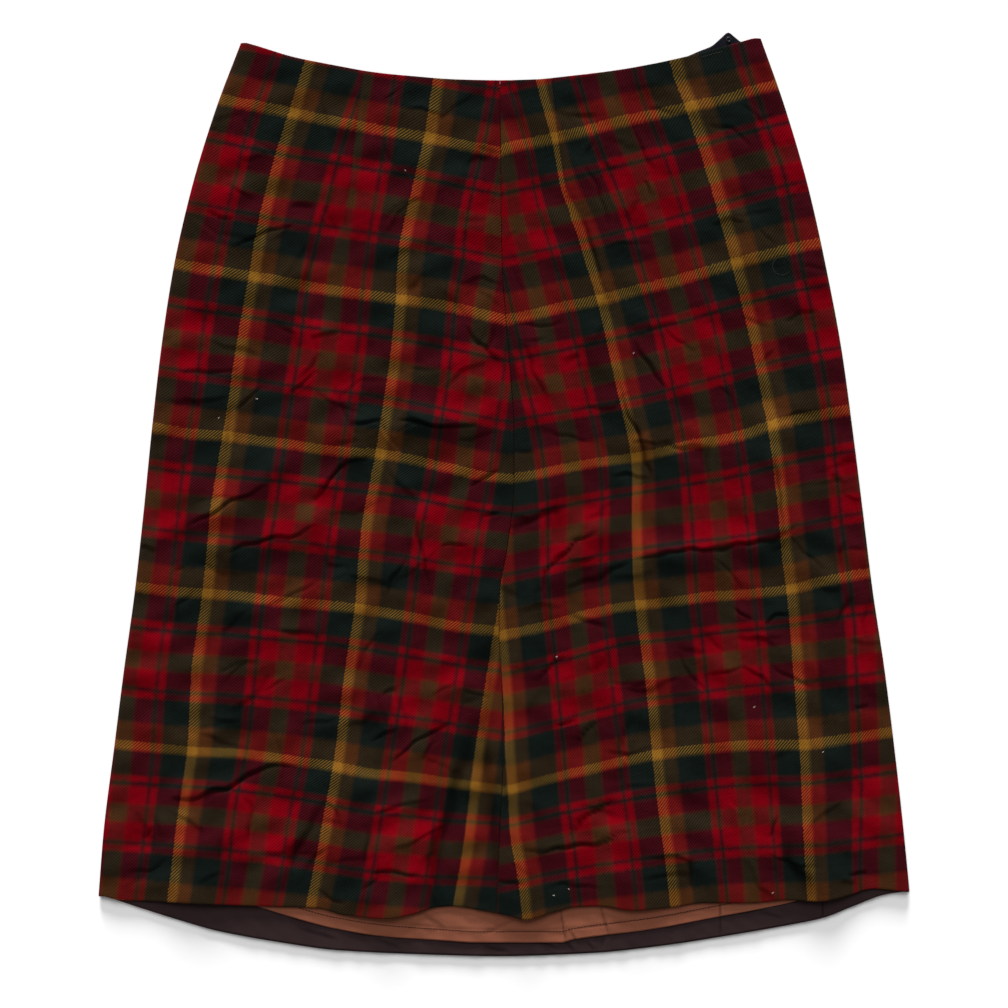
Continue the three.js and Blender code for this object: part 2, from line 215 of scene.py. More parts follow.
@dataclass(frozen=True)
class Crease:
    """A crease set into the cloth: a narrow trough along a path, under a swell that stands along one side of
    it, with painted shade along its line.

    Attributes:
        path: The crease's points, in millimetres.
        depth: How far the trough sinks.
        lift: How far the swell rises on the path's left, or on its right where this is negative.
        width: Half the trough's width.
        reach: How far the swell spreads.
        margin: How far around the path it is worked out, in reaches.
        step: How wide the step from trough to swell is, in trough widths.
        fall: How steeply the swell falls away.
        fade: How late the crease fades towards its ends.
        mark: How wide the painted shade along its line is, in trough widths.
    """

    path: tuple[Spot, ...]
    depth: float
    lift: float
    width: float = 1.2
    reach: float = 7.0
    margin: float = 4.0
    step: float = 1.7
    fall: float = 1.4
    fade: float = 0.7
    mark: float = 0.8

    def add_to(self, height: Array, pressed: Array, x: Array, y: Array) -> None:
        """Add the crease to the heights of the places that it reaches.

        Args:
            height: The heights, which are changed.
            pressed: The shade painted along the creases, which is changed too.
            x: The places' widths.
            y: The places' heights on the page.
        """
        points = np.array(self.path, dtype=float)
        margin = self.margin * max(self.reach, self.width)
        low = points.min(axis=0) - margin
        high = points.max(axis=0) + margin
        near = (x > low[0]) & (x < high[0]) & (y > low[1]) & (y < high[1])
        if not near.any():
            return
        off, side, along = self._nearest(points, x[near], y[near])
        fade = np.clip(4.0 * along * (1.0 - along), 0.0, 1.0) ** self.fade
        trough = self.depth * np.exp(-((off / self.width) ** 2))
        cliff = smoothstep(off, 0.0, self.step * self.width)
        swell = abs(self.lift) * cliff * np.exp(-((off / self.reach) ** self.fall))
        swell = np.where(side * self.lift > 0, swell, 0.0)
        height[near] += fade * (swell - trough)
        # Painted shade: a dark line along the trough, as strong as the trough is deep, which darkens the
        # colour there.
        pressed[near] += fade * self.depth * np.exp(-((off / (self.mark * self.width)) ** 2))

    @staticmethod
    def _nearest(points: Array, x: Array, y: Array) -> tuple:
        """Find the nearest place on the path.

        Args:
            points: The path's points.
            x: The places' widths.
            y: The places' heights on the page.

        Returns:
            How far off it is, the side of the path, above 0 on its left, and the share of the path there.
        """
        runs = np.diff(points, axis=0)
        lengths = np.hypot(runs[:, 0], runs[:, 1])
        before = np.concatenate([[0.0], np.cumsum(lengths)])
        nearest = np.full(x.shape, FAR_AWAY)
        side = np.zeros_like(x)
        along = np.zeros_like(x)
        for start, run, length, so_far in zip(points, runs, lengths, before):
            from_x = x - start[0]
            from_y = y - start[1]
            share = np.clip((from_x * run[0] + from_y * run[1]) / length**2, 0.0, 1.0)
            off = np.hypot(from_x - share * run[0], from_y - share * run[1])
            closer = off < nearest
            nearest = np.where(closer, off, nearest)
            side = np.where(closer, run[0] * from_y - run[1] * from_x, side)
            along = np.where(closer, (so_far + share * length) / before[-1], along)
        return nearest, side, along


@dataclass(frozen=True)
class Scatter:
    """Small creases scattered over a stretch of cloth, mostly level and of uneven length and depth.

    Attributes:
        seed: Picks them.
        count: How many there are.
        low: The stretch's lowest corner.
        high: The stretch's highest corner.
        tilt: How far they stray from level, in radians.
        upright: The share of them that stands upright.
        bow: How far they bow, in lengths.
        lengths: The shortest and the longest.
        depths: The shallowest and the deepest trough.
        lifts: The lowest and the highest swell.
        widths: The narrowest and the widest trough.
        reaches: The narrowest and the widest swell.
    """

    seed: int
    count: int
    low: Spot
    high: Spot
    tilt: float = 0.55
    upright: float = 0.2
    bow: float = 0.09
    lengths: Pair = (12.0, 46.0)
    depths: Pair = (0.12, 0.5)
    lifts: Pair = (0.3, 1.2)
    widths: Pair = (1.1, 2.4)
    reaches: Pair = (3.0, 8.0)

    def creases(self) -> list[Crease]:
        """Scatter them.

        Returns:
            The creases.
        """
        rng = np.random.default_rng(self.seed)
        creases = []
        for _ in range(self.count):
            middle = rng.uniform(self.low, self.high)
            heading = rng.normal(0.0, self.tilt)
            heading += math.pi / 2.0 if rng.random() < self.upright else 0.0
            length = rng.uniform(*self.lengths)
            bow = rng.normal(0.0, self.bow) * length
            along = np.array([math.cos(heading), math.sin(heading)]) * length / 2.0
            aside = np.array([-math.sin(heading), math.cos(heading)]) * bow
            path = (tuple(middle - along), tuple(middle + aside), tuple(middle + along))
            depth = rng.uniform(*self.depths)
            lift = rng.uniform(*self.lifts)
            width = rng.uniform(*self.widths)
            creases.append(Crease(path, depth, lift, width, rng.uniform(*self.reaches)))
        return creases


@dataclass(frozen=True)
class Fold:
    """A large soft ridge of the front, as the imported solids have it."""

    start: Spot
    end: Spot
    height: float
    width: float

    def at(self, x: Array, y: Array) -> Array:
        """Give the ridge's height at each place.

        Args:
            x: The places' widths.
            y: The places' heights on the page.

        Returns:
            The heights, in millimetres.
        """
        run = np.subtract(self.end, self.start)
        length = math.hypot(run[0], run[1])
        from_x = x - self.start[0]
        from_y = y - self.start[1]
        along = (from_x * run[0] + from_y * run[1]) / length
        across = (from_x * run[1] - from_y * run[0]) / length
        past = np.maximum(0.0, np.maximum(-along, along - length))
        return self.height * np.exp(-((across / self.width) ** 2) - (past / self.width) ** 2)


FOLDS = (
    Fold((-85, -306), (-104, -211), 3.4, 22),
    Fold((16, -307), (7, -190), 3.6, 20),
    Fold((96, -300), (120, -204), 2.6, 22),
    Fold((238, -290), (214, -190), 3.0, 20),
    Fold((-222, -294), (-210, -232), 2.2, 24),
    Fold((-115, 51), (-18, 56), 2.8, 12),
    Fold((-205, -9), (-166, 20), 2.6, 12),
    Fold((-61, -15), (-52, -72), 2.6, 12),
    Fold((68, 116), (98, 44), 3.0, 13),
    Fold((194, 44), (199, -22), 2.8, 13),
    Fold((102, -44), (180, -36), 2.6, 13),
    Fold((26, -66), (70, -22), 2.4, 12),
    Fold((-202, -38), (-139, -20), 2.4, 12),
)
FOLD_FADE = 26.0


def front_level(x: Array, y: Array) -> Array:
    """Give the level of the front's outer face, which climbs onto the lining near the hem.

    Args:
        x: The places' widths.
        y: The places' heights on the page.

    Returns:
        The levels, in millimetres.
    """
    over_lining = smoothstep(-y, *CLIMB_DOWN)
    in_lining = 1.0 - smoothstep(np.abs(x), *CLIMB_OUT)
    level = FRONT_REST + (FRONT_AT_HEM - FRONT_REST) * over_lining * in_lining
    inside = np.minimum(x - LEFT_SIDE.at(y), RIGHT_SIDE.at(y) - x)
    folds = sum(fold.at(x, y) for fold in FOLDS)
    return level + folds * smoothstep(inside, SIDE_ROUND, FOLD_FADE)


@dataclass(frozen=True)
class Grain:
    """How the cloth's repeats lie: a smooth reading bent through the places where its stripes run.

    Attributes:
        stripes: For each repeat, the places that its stripe passes, in millimetres.
        stiffness: How little the reading bends to meet each place.
        unit: The length that the bending is worked out in.
    """

    stripes: tuple[tuple[float, tuple[Spot, ...]], ...]
    stiffness: float = 0.02
    unit: float = 100.0

    def at(self, x: Array, y: Array, dart: Dart | None = None) -> Array:
        """Read the repeats, apart from what a dart takes up.

        Args:
            x: The places' widths.
            y: The places' heights on the page.
            dart: The dart whose jump is taken off the marks before the fit.

        Returns:
            The number of repeats at each place.
        """
        rows = [(px, py, value) for value, run in self.stripes for px, py in run]
        marks = np.array(rows, dtype=float)
        aims = marks[:, 2].copy()
        if dart is not None:
            past = marks[:, 0] > dart.line.at(marks[:, 1])
            aims -= np.where(past, dart.jump(marks[:, 1]), 0.0)
        sx = marks[:, 0] / self.unit
        sy = marks[:, 1] / self.unit
        count = len(marks)
        flat = np.column_stack([np.ones(count), sx, sy])
        bend = self._bend(sx[:, None] - sx[None, :], sy[:, None] - sy[None, :])
        system = np.zeros((count + 3, count + 3))
        system[:count, :count] = bend + self.stiffness * np.eye(count)
        system[:count, count:] = flat
        system[count:, :count] = flat.T
        weights = np.linalg.solve(system, np.concatenate([aims, np.zeros(3)]))
        level, slope_x, slope_y = weights[count:]
        result = level + slope_x * x / self.unit + slope_y * y / self.unit
        for weight, from_x, from_y in zip(weights, sx, sy):
            result = result + weight * self._bend(x / self.unit - from_x, y / self.unit - from_y)
        return result

    @staticmethod
    def _bend(dx: Array, dy: Array) -> Array:
        """Give the bend of a thin plate at a distance."""
        square = dx * dx + dy * dy
        return 0.5 * square * np.log(square + NEXT_TO_NOTHING)


@dataclass(frozen=True)
class Dart:
    """A waist dart: its line, and the cloth that it takes up, which ends at its tip.

    Attributes:
        line: The dart's width by its height on the page.
        taken: The repeats that it takes up at the waist.
        tip: The height on the page where it ends.
        waist: The height on the page where it starts.
        depth: How far its line sinks, in millimetres.
        width: Half the width of that sinking.
        fade: How far below and above its tip the line starts to sink and has sunk.
    """

    line: Curve
    taken: float
    tip: float
    waist: float
    depth: float = 0.75
    width: float = 1.1
    fade: Pair = (12.0, 30.0)

    def jump(self, y: Array) -> Array:
        """Give the repeats that are taken up at each height."""
        return self.taken * np.clip((y - self.tip) / (self.waist - self.tip), 0.0, 1.0)

    def groove(self, x: Array, y: Array) -> Array:
        """Give how far its line sinks at each place.

        Args:
            x: The places' widths.
            y: The places' heights on the page.

        Returns:
            The depths, in millimetres.
        """
        off = np.abs(x - self.line.at(y))
        shown = smoothstep(y, self.tip - self.fade[0], self.tip + self.fade[1])
        return self.depth * np.exp(-((off / self.width) ** 2)) * shown


class Side(Enum):
    """The halves of the front, as they lie in the picture."""

    LEFT = -1
    RIGHT = 1


def maths_operator(operation: str, reflected: bool = False) -> Callable[[Any, Any], Any]:
    """Make an operator of shader maths.

    Args:
        operation: The Math node's operation.
        reflected: Whether the other value comes first.

    Returns:
        The operator, which adds one Math node.
    """
    def operator(value: Maths, other: Maths | float) -> Maths:
        """Add the node."""
        return value.recipe.maths(operation, *((other, value) if reflected else (value, other)))

    return operator


class Maths:
    """A shader socket that holds one number, so that shader maths reads as plain expressions."""

    __add__ = maths_operator("ADD")
    __sub__ = maths_operator("SUBTRACT")
    __mul__ = maths_operator("MULTIPLY")
    __radd__ = maths_operator("ADD", reflected=True)
    __rsub__ = maths_operator("SUBTRACT", reflected=True)
    __rmul__ = maths_operator("MULTIPLY", reflected=True)

    def __init__(self, recipe: Recipe, socket: NodeSocket) -> None:
        """Keep the socket and the recipe that it belongs to."""
        self.recipe = recipe
        self.socket = socket

    def wrapped(self) -> Maths:
        """Keep the fraction, so that a repeat starts again at 0."""
        return self.recipe.maths("FRACT", self)

    def sine(self) -> Maths:
        """Take the sine."""
        return self.recipe.maths("SINE", self)

    def between(self, low: float, high: float) -> Maths:
        """Rise softly from 0 to 1.

        Args:
            low: Where the rise starts.
            high: Where it ends.

        Returns:
            The risen value.
        """
        settings = {"interpolation_type": "SMOOTHSTEP"}
        sockets = {"Value": self, "From Min": low, "From Max": high}
        return Maths(self.recipe, self.recipe.node("ShaderNodeMapRange", settings, sockets).outputs["Result"])


class Recipe:
    """A material under construction, with one way to add a node."""

    def __init__(self, name: str) -> None:
        """Start an empty material.

        Args:
            name: The material's name.
        """
        self.material = bpy.data.materials.new(name)
        self.material.use_nodes = True
        self.tree = self.material.node_tree
        self.tree.nodes.clear()

    def node(self, kind: str, settings: dict[str, Any], sockets: dict[Any, Any]) -> Node:
        """Add one node.

        Args:
            kind: The node's type.
            settings: Its settings, which are set first. Stops are a ramp's places and colours.
            sockets: The values or links of its sockets, by name or number.

        Returns:
            The node.
        """
        made = self.tree.nodes.new(kind)
        for name, value in settings.items():
            if name == "stops":
                self._set_stops(made.color_ramp, value)
            else:
                setattr(made, name, value)
        for key, value in sockets.items():
            if isinstance(value, Maths):
                value = value.socket
            if isinstance(value, NodeSocket):
                self.tree.links.new(value, made.inputs[key])
            else:
                made.inputs[key].default_value = value
        return made

    @staticmethod
    def _set_stops(ramp: ColorRamp, stops: list[tuple[float, Shade]]) -> None:
        """Set a ramp's stops.

        Args:
            ramp: The ramp.
            stops: Its places and colours, of which the first is at its start.
        """
        while len(ramp.elements) > 1:
            ramp.elements.remove(ramp.elements[-1])
        ramp.elements[0].position = stops[0][0]
        ramp.elements[0].color = stops[0][1]
        for place, shade in stops[1:]:
            ramp.elements.new(place).color = shade

    def maths(self, operation: str, *values: Maths | float) -> Maths:
        """Add a Math node on one or two values."""
        sockets = dict(enumerate(values))
        return Maths(self, self.node("ShaderNodeMath", {"operation": operation}, sockets).outputs[0])

    def across_and_down(self, place: NodeSocket) -> tuple[Maths, Maths]:
        """Read the first two parts of a place."""
        parts = self.node("ShaderNodeSeparateXYZ", {}, {"Vector": place})
        return Maths(self, parts.outputs["X"]), Maths(self, parts.outputs["Y"])

    def cloth_place(self) -> tuple[Maths, Maths]:
        """Read the place on the cloth, in metres across and down."""
        return self.across_and_down(self.node("ShaderNodeUVMap", {"uv_map": "cloth"}, {}).outputs["UV"])

    def object_place(self) -> NodeSocket:
        """Read the place in the object's own metres."""
        return self.node("ShaderNodeTexCoord", {}, {}).outputs["Object"]

    def vector(self, x: Maths | float, y: Maths | float, z: Maths | float = 0.0) -> NodeSocket:
        """Join three values into a vector."""
        return self.node("ShaderNodeCombineXYZ", {}, {"X": x, "Y": y, "Z": z}).outputs["Vector"]

    def noise(self, place: NodeSocket, scale: float, detail: float = 2.0) -> Maths:
        """Add noise, from 0 to 1 about one half.

        Args:
            place: Where it is read.
            scale: How fine it is.
            detail: How many finer layers it has.

        Returns:
            The noise.
        """
        settings = {"noise_dimensions": "3D"}
        sockets = {"Vector": place, "Scale": scale, "Detail": detail, "Roughness": 0.55}
        return Maths(self, self.node("ShaderNodeTexNoise", settings, sockets).outputs["Fac"])

    def ramp(self, value: Maths, stops: list[tuple[float, Shade]]) -> NodeSocket:
        """Turn a value into a colour through stops."""
        return self.node("ShaderNodeValToRGB", {"stops": stops}, {"Fac": value}).outputs["Color"]

    def plain(self, shade: tuple[float, float, float]) -> NodeSocket:
        """Add one colour.

        Args:
            shade: The colour as the eye sees it, from 0 to 255.

        Returns:
            The colour.
        """
        base = self.node("ShaderNodeRGB", {}, {}).outputs["Color"]
        base.default_value = seen_colour(*shade)
        return base

    def mix(self, share: Maths, first: Any, second: Any) -> NodeSocket:
        """Mix two colours."""
        settings = {"data_type": "RGBA"}
        return self.node("ShaderNodeMix", settings, {0: share, 6: first, 7: second}).outputs[2]

    def felted(self, share: Maths, first: Any, second: Any) -> NodeSocket:
        """Mix two yarns as their fibres mix, where the darker one counts for more.

        Args:
            share: How much the second one shows.
            first: A yarn's colour.
            second: The other yarn's colour.

        Returns:
            The mixed colour.
        """
        under = self.node("ShaderNodeGamma", {}, {"Color": first, "Gamma": 1.0 / FELTING})
        upper = self.node("ShaderNodeGamma", {}, {"Color": second, "Gamma": 1.0 / FELTING})
        mixed = self.mix(share, under.outputs["Color"], upper.outputs["Color"])
        return self.node("ShaderNodeGamma", {}, {"Color": mixed, "Gamma": FELTING}).outputs["Color"]

    def green_of(self, colour: NodeSocket) -> Maths:
        """Read how much green a colour has."""
        return Maths(self, self.node("ShaderNodeSeparateColor", {}, {"Color": colour}).outputs["Green"])

    def attribute(self, name: str) -> Maths:
        """Read a piece's own attribute."""
        return Maths(self, self.node("ShaderNodeAttribute", {"attribute_name": name}, {}).outputs["Fac"])

    def shaded(self, colour: Any, amount: Maths) -> NodeSocket:
        """Make a colour lighter or darker by an amount about 1."""
        settings = {"operation": "SCALE"}
        return self.node("ShaderNodeVectorMath", settings, {0: colour, "Scale": amount}).outputs[0]

    def bump(self, height: Maths, distance: float, strength: float = 1.0) -> NodeSocket:
        """Turn a height into a normal."""
        sockets = {"Height": height, "Distance": distance, "Strength": strength}
        return self.node("ShaderNodeBump", {}, sockets).outputs["Normal"]

    def finish(self, sockets: dict[str, Any]) -> Material:
        """Close the material with its surface shader.

        Args:
            sockets: The shader's values and links.

        Returns:
            The material.
        """
        shader = self.node("ShaderNodeBsdfPrincipled", {}, sockets).outputs["BSDF"]
        self.node("ShaderNodeOutputMaterial", {}, {"Surface": shader})
        return self.material


def seen_colour(red: float, green: float, blue: float) -> Shade:
    """Turn a colour as the eye sees it, from 0 to 255, into the light that it gives back.

    Args:
        red: Its red.
        green: Its green.
        blue: Its blue.

    Returns:
        The colour for a shader.
    """
    parts = [channel / 255.0 for channel in (red, green, blue)]
    lit = [part / 12.92 if part <= 0.04045 else ((part + 0.055) / 1.055) ** 2.4 for part in parts]
    return (lit[0], lit[1], lit[2], 1.0)


class Yarn(Enum):
    """The yarns of the tartan."""

    GOLD = (146, 100, 34)
    GREEN = (21, 28, 25)
    RED = (125, 4, 18)
    OLIVE = (70, 43, 24)
    BROWN = (76, 43, 22)

    def shade(self) -> Shade:
        """Give the yarn's colour."""
        return seen_colour(*self.value)


@dataclass(frozen=True)
class TartanWool:
    """Brushed wool twill in a tartan. The charts give the yarns and widths of one repeat, in parts of it.

    Attributes:
        across, down: The charts of warp and weft.
        blur: Half the width over which one yarn turns into the next, in repeats.
        wander: How far the stripes' edges wander, in metres.
        warp_fray, weft_fray: How far the edges of warp and weft fray.
        fray_scale: The fray's noise scale along the yarns and across them.
        streak_scale: The same for the yarns' streaks.
        streak: How uneven the streaks make a yarn.
        loft: How far the nap bends the twill's ridges.
        contrast: How clearly the twill shows, and how much more it does at the gold yarns.
        gold_green: How much green a crossing has where gold starts to count, and where it counts in full.
        wear: How uneven the cloth's colour is.
        painted_crease_shade: How much the shade painted along a crease darkens the colour.
        relief: How high the twill stands, in metres.
    """

    across: tuple[tuple[Yarn, float], ...] = (
        (Yarn.GOLD, 50), (Yarn.BROWN, 70), (Yarn.GREEN, 145), (Yarn.RED, 27), (Yarn.GREEN, 25),
        (Yarn.RED, 86), (Yarn.OLIVE, 82), (Yarn.RED, 87), (Yarn.GREEN, 21), (Yarn.RED, 27),
        (Yarn.GREEN, 124),
    )
    down: tuple[tuple[Yarn, float], ...] = (
        (Yarn.GOLD, 47), (Yarn.GREEN, 138), (Yarn.RED, 25), (Yarn.GREEN, 30), (Yarn.RED, 95),
        (Yarn.OLIVE, 88), (Yarn.RED, 92), (Yarn.GREEN, 25), (Yarn.RED, 27), (Yarn.GREEN, 133),
        (Yarn.BROWN, 100),
    )
    blur: float = 0.014
    wander: float = 0.001
    warp_fray: float = 0.0026
    weft_fray: float = 0.0034
    fray_scale: Pair = (110.0, 900.0)
    streak_scale: Pair = (45.0, 2100.0)
    streak: float = 0.9
    loft: float = 0.8
    contrast: Pair = (0.32, 0.36)
    gold_green: Pair = (0.06, 0.13)
    wear: float = 0.56
    painted_crease_shade: float = 0.5
    relief: float = 0.00016

    def stripes(self, recipe: Recipe, place: Maths, chart: tuple, repeat: float) -> NodeSocket:
        """Colour a set of parallel yarns.

        Args:
            recipe: The material.
            place: The place across the yarns, in metres.
            chart: The yarns of one repeat and their widths.
            repeat: The repeat's size in metres.

        Returns:
            The yarns' colour.
        """
        total = sum(width for _, width in chart)
        stops = [(0.0, chart[0][0].shade())]
        edge = 0.0
        for (yarn, width), (following, _) in zip(chart, chart[1:]):
            edge += width / total
            stops.append((edge - self.blur, yarn.shade()))
            stops.append((edge + self.blur, following.shade()))
        half_gold = chart[0][1] / total / 2.0
        return recipe.ramp((place * (1.0 / repeat) + half_gold).wrapped(), stops)

    def yarns(self, recipe: Recipe, u: Maths, v: Maths) -> tuple[Any, Any]:
        """Colour the warp and the weft, frayed where one yarn turns into the next, and streaked.

        Args:
            recipe: The material.
            u: The place across the cloth, in metres.
            v: The place down the cloth.

        Returns:
            The colours of warp and weft.
        """
        coarse, fine = self.fray_scale
        wander = (recipe.noise(recipe.vector(u, v), 260.0, 3.0) - 0.5) * self.wander
        warp_fray = (recipe.noise(recipe.vector(u * coarse, v * fine), 1.0) - 0.5) * self.warp_fray
        weft_fray = (recipe.noise(recipe.vector(u * fine, v * coarse), 1.0) - 0.5) * self.weft_fray
        warp = self.stripes(recipe, u + wander + warp_fray, self.across, REPEAT_ACROSS)
        weft = self.stripes(recipe, v - wander + weft_fray, self.down, REPEAT_DOWN)
        coarse, fine = self.streak_scale
        warp_streak = recipe.noise(recipe.vector(u * fine, v * coarse), 1.0)
        weft_streak = recipe.noise(recipe.vector(u * coarse, v * fine, 5.0), 1.0)
        warp = recipe.shaded(warp, warp_streak * self.streak + 0.55)
        weft = recipe.shaded(weft, weft_streak * self.streak + 0.55)
        return warp, weft

    def make(self, name: str) -> Material:
        """Weave the material.

        Args:
            name: The material's name.

        Returns:
            The material.
        """
        recipe = Recipe(name)
        u, v = recipe.cloth_place()
        warp, weft = self.yarns(recipe, u, v)
        flat = recipe.vector(u, v)
        nap = recipe.noise(flat, 900.0, 4.0)
        worn = recipe.noise(flat, 24.0, 4.0)
        twill = ((u + v) * (TURN / TWILL_PITCH)).sine()
        over = (twill + (nap - 0.5) * self.loft).between(-0.45, 0.45)
        even, more = self.contrast
        gold = (recipe.green_of(warp) + recipe.green_of(weft)).between(*self.gold_green)
        colour = recipe.felted((over - 0.5) * (gold * more + even) + 0.5, weft, warp)
        # Painted shade: the wool's colour is darkened along the creases' lines.
        painted_crease_darkening = 1.0 - recipe.attribute("pressed") * self.painted_crease_shade
        colour = recipe.shaded(colour, (worn * self.wear + 0.4) * painted_crease_darkening)
        ribs = (u * (TURN / TWILL_PITCH * 4.0)).sine() * over
        height = twill * 0.5 + ribs * 0.2 + nap * 1.1
        return recipe.finish({
            "Base Color": colour,
            "Roughness": 0.92 - nap * 0.1,
            "Specular IOR Level": 0.0,
            "Sheen Weight": 0.012,
            "Sheen Roughness": 0.5,
            "Sheen Tint": seen_colour(190, 160, 150),
            "Normal": recipe.bump(height, self.relief),
        })


@dataclass(frozen=True)
class PlainCloth:
    """A plain woven cloth with a soft sheen.

    Attributes:
        shade: Its colour as the eye sees it, from 0 to 255.
        roughness: How matt it is.
        sheen: How much its fibres catch the light.
        thread: The pitch of its weave in metres.
        mottle: How uneven its colour is.
        grain: How uneven its threads' colour is.
        painted_crease_shade: How much the shade painted along a crease darkens the colour.
        relief: How high the weave stands, in metres.
    """

    shade: tuple[float, float, float]
    roughness: float
    sheen: float
    thread: float
    mottle: float
    grain: float = 0.3
    painted_crease_shade: float = 0.8
    relief: float = 0.00006

    def make(self, name: str) -> Material:
        """Weave the material.

        Args:
            name: The material's name.

        Returns:
            The material.
        """
        recipe = Recipe(name)
        place = recipe.object_place()
        x, y = recipe.across_and_down(place)
        warp = (x * (TURN / self.thread)).sine()
        weft = (y * (TURN / self.thread)).sine()
        grain = recipe.noise(place, 1400.0, 3.0)
        cloud = recipe.noise(place, 45.0, 4.0)
        amount = cloud * (2.0 * self.mottle) + grain * self.grain + (0.85 - self.mottle)
        # Painted shade: the colour is darkened along the creases' lines, where the piece has them.
        painted_crease_darkening = 1.0 - recipe.attribute("pressed") * self.painted_crease_shade
        return recipe.finish({
            "Base Color": recipe.shaded(recipe.plain(self.shade), amount * painted_crease_darkening),
            "Roughness": grain * 0.12 + (self.roughness - 0.06),
            "Specular IOR Level": 0.03,
            "Sheen Weight": self.sheen,
            "Sheen Roughness": 0.4,
            "Normal": recipe.bump(warp * weft + grain, self.relief),
        })


@dataclass(frozen=True)
class PlatedWire:
    """Plated wire with fine drawing marks."""

    shade: tuple[float, float, float] = (70, 70, 68)
    marks_scale: float = 5200.0
    relief: float = 0.00002

    def make(self, name: str) -> Material:
        """Mix the material.

        Args:
            name: The material's name.

        Returns:
            The material.
        """
        recipe = Recipe(name)
        marks = recipe.noise(recipe.object_place(), self.marks_scale, 3.0)
        return recipe.finish({
            "Base Color": recipe.shaded(recipe.plain(self.shade), marks * 0.3 + 0.85),
            "Metallic": 1.0,
            "Roughness": marks * 0.2 + 0.2,
            "Normal": recipe.bump(marks, self.relief),
        })


@dataclass(frozen=True)
class PaperFloor:
    """The plain pale floor."""

    level: float = 0.95

    def make(self, name: str) -> Material:
        """Mix the material.

        Args:
            name: The material's name.

        Returns:
            The material.
        """
        recipe = Recipe(name)
        return recipe.finish({
            "Base Color": (self.level, self.level, self.level, 1.0),
            "Roughness": 0.9,
            "Specular IOR Level": 0.1,
        })


@dataclass(frozen=True)
class Panel:
    """A panel between four edges. Across runs from its start to its end, and down from waist to hem.

    Attributes:
        start: The starting edge's width by height on the page.
        end: The ending edge's width by height on the page.
        start_shift: What is added to the starting edge's width.
        end_shift: What is added to the ending edge's width.
        start_span: The starting edge's waist and hem.
        end_span: The ending edge's waist and hem.
        waist: The upper edge by width.
        hem: The lower edge by width.
    """

    start: Curve
    end: Curve
    start_shift: float
    end_shift: float
    start_span: Pair
    end_span: Pair
    waist: Curve
    hem: Curve

    def row_x(self, across: Array, down: Any) -> Array:
        """Give the width of a place at a share of the way down.

        Args:
            across: Shares of the way from start to end.
            down: Shares of the way from waist to hem.

        Returns:
            The widths, in millimetres.
        """
        start_y = self.start_span[0] + (self.start_span[1] - self.start_span[0]) * down
        end_y = self.end_span[0] + (self.end_span[1] - self.end_span[0]) * down
        start_x = self.start.at(start_y) + self.start_shift
        end_x = self.end.at(end_y) + self.end_shift
        return start_x + (end_x - start_x) * across

    def place(self, across: Array, down: Array, inset: float) -> tuple[Array, Array]:
        """Give the place on the page.

        Args:
            across: Shares of the way from start to end.
            down: Shares of the way from waist to hem.
            inset: How far inside its upper and lower edge the panel starts and ends.

        Returns:
            Widths and heights on the page, in millimetres.
        """
        upper = self.waist.at(self.row_x(across, 0.0)) - inset
        lower = self.hem.at(self.row_x(across, 1.0)) + inset
        return self.row_x(across, down), upper + (lower - upper) * down


def mesh_of(shape: bmesh.types.BMesh, name: str) -> Mesh:
    """Turn a finished bmesh into a mesh.

    Args:
        shape: The bmesh, which is freed.
        name: The mesh's name.

    Returns:
        The mesh.
    """
    mesh = bpy.data.meshes.new(name)
    shape.to_mesh(mesh)
    shape.free()
    return mesh


def grid_sheet(columns: int, rows: int) -> Mesh:
    """Start a flat sheet of even cells.

    Args:
        columns: The number of places across.
        rows: The number of places down.

    Returns:
        The mesh, whose places run row by row.
    """
    sheet = bmesh.new()
    bmesh.ops.create_grid(sheet, x_segments=columns - 1, y_segments=rows - 1, size=0.5)
    return mesh_of(sheet, "sheet")


def quarter_turn(steps: int) -> Array:
    """Give the angles of a quarter of a turn, without its start."""
    return np.linspace(0.0, math.pi / 2.0, steps + 1)[1:]


def lay_out(mesh: Mesh, x: Array, y: Array, z: Array) -> None:
    """Move a sheet's places.

    Args:
        mesh: The sheet.
        x, y, z: The places in millimetres.
    """
    places = np.stack([x.ravel(), y.ravel(), z.ravel()], axis=1) * MM
    mesh.vertices.foreach_set("co", places.astype(np.float32).ravel())
    mesh.update()


def set_cloth_map(mesh: Mesh, u: Array, v: Array) -> None:
    """Write where each face corner lies on the cloth, in metres."""
    layer = mesh.uv_layers.new(name="cloth")
    layer.data.foreach_set("uv", np.stack([u, v], axis=1).astype(np.float32).ravel())


def corner_places(mesh: Mesh) -> tuple[Array, Array]:
    """Give each face corner's place and face.

    Args:
        mesh: A sheet.

    Returns:
        The number of each corner's place, and that of its face.
    """
    place = np.zeros(len(mesh.loops), dtype=np.int32)
    mesh.loops.foreach_get("vertex_index", place)
    return place, np.repeat(np.arange(len(mesh.polygons)), 4)


def set_painted_shade(mesh: Mesh, pressed: Array) -> None:
    """Write the shade painted along the creases at each place of a sheet."""
    # Painted shade along the creases, which the materials darken their colour by.
    lines = mesh.attributes.new("pressed", "FLOAT", "POINT")
    lines.data.foreach_set("value", pressed.astype(np.float32).ravel())


def face_up(mesh: Mesh) -> None:
    """Turn a sheet's outer side up.

    Args:
        mesh: The sheet.
    """
    normals = np.zeros(len(mesh.polygons) * 3, dtype=np.float32)
    mesh.polygons.foreach_get("normal", normals)
    middle = normals.reshape(-1, 3)[len(mesh.polygons) // 2]
    if middle[2] < 0.0:
        mesh.flip_normals()


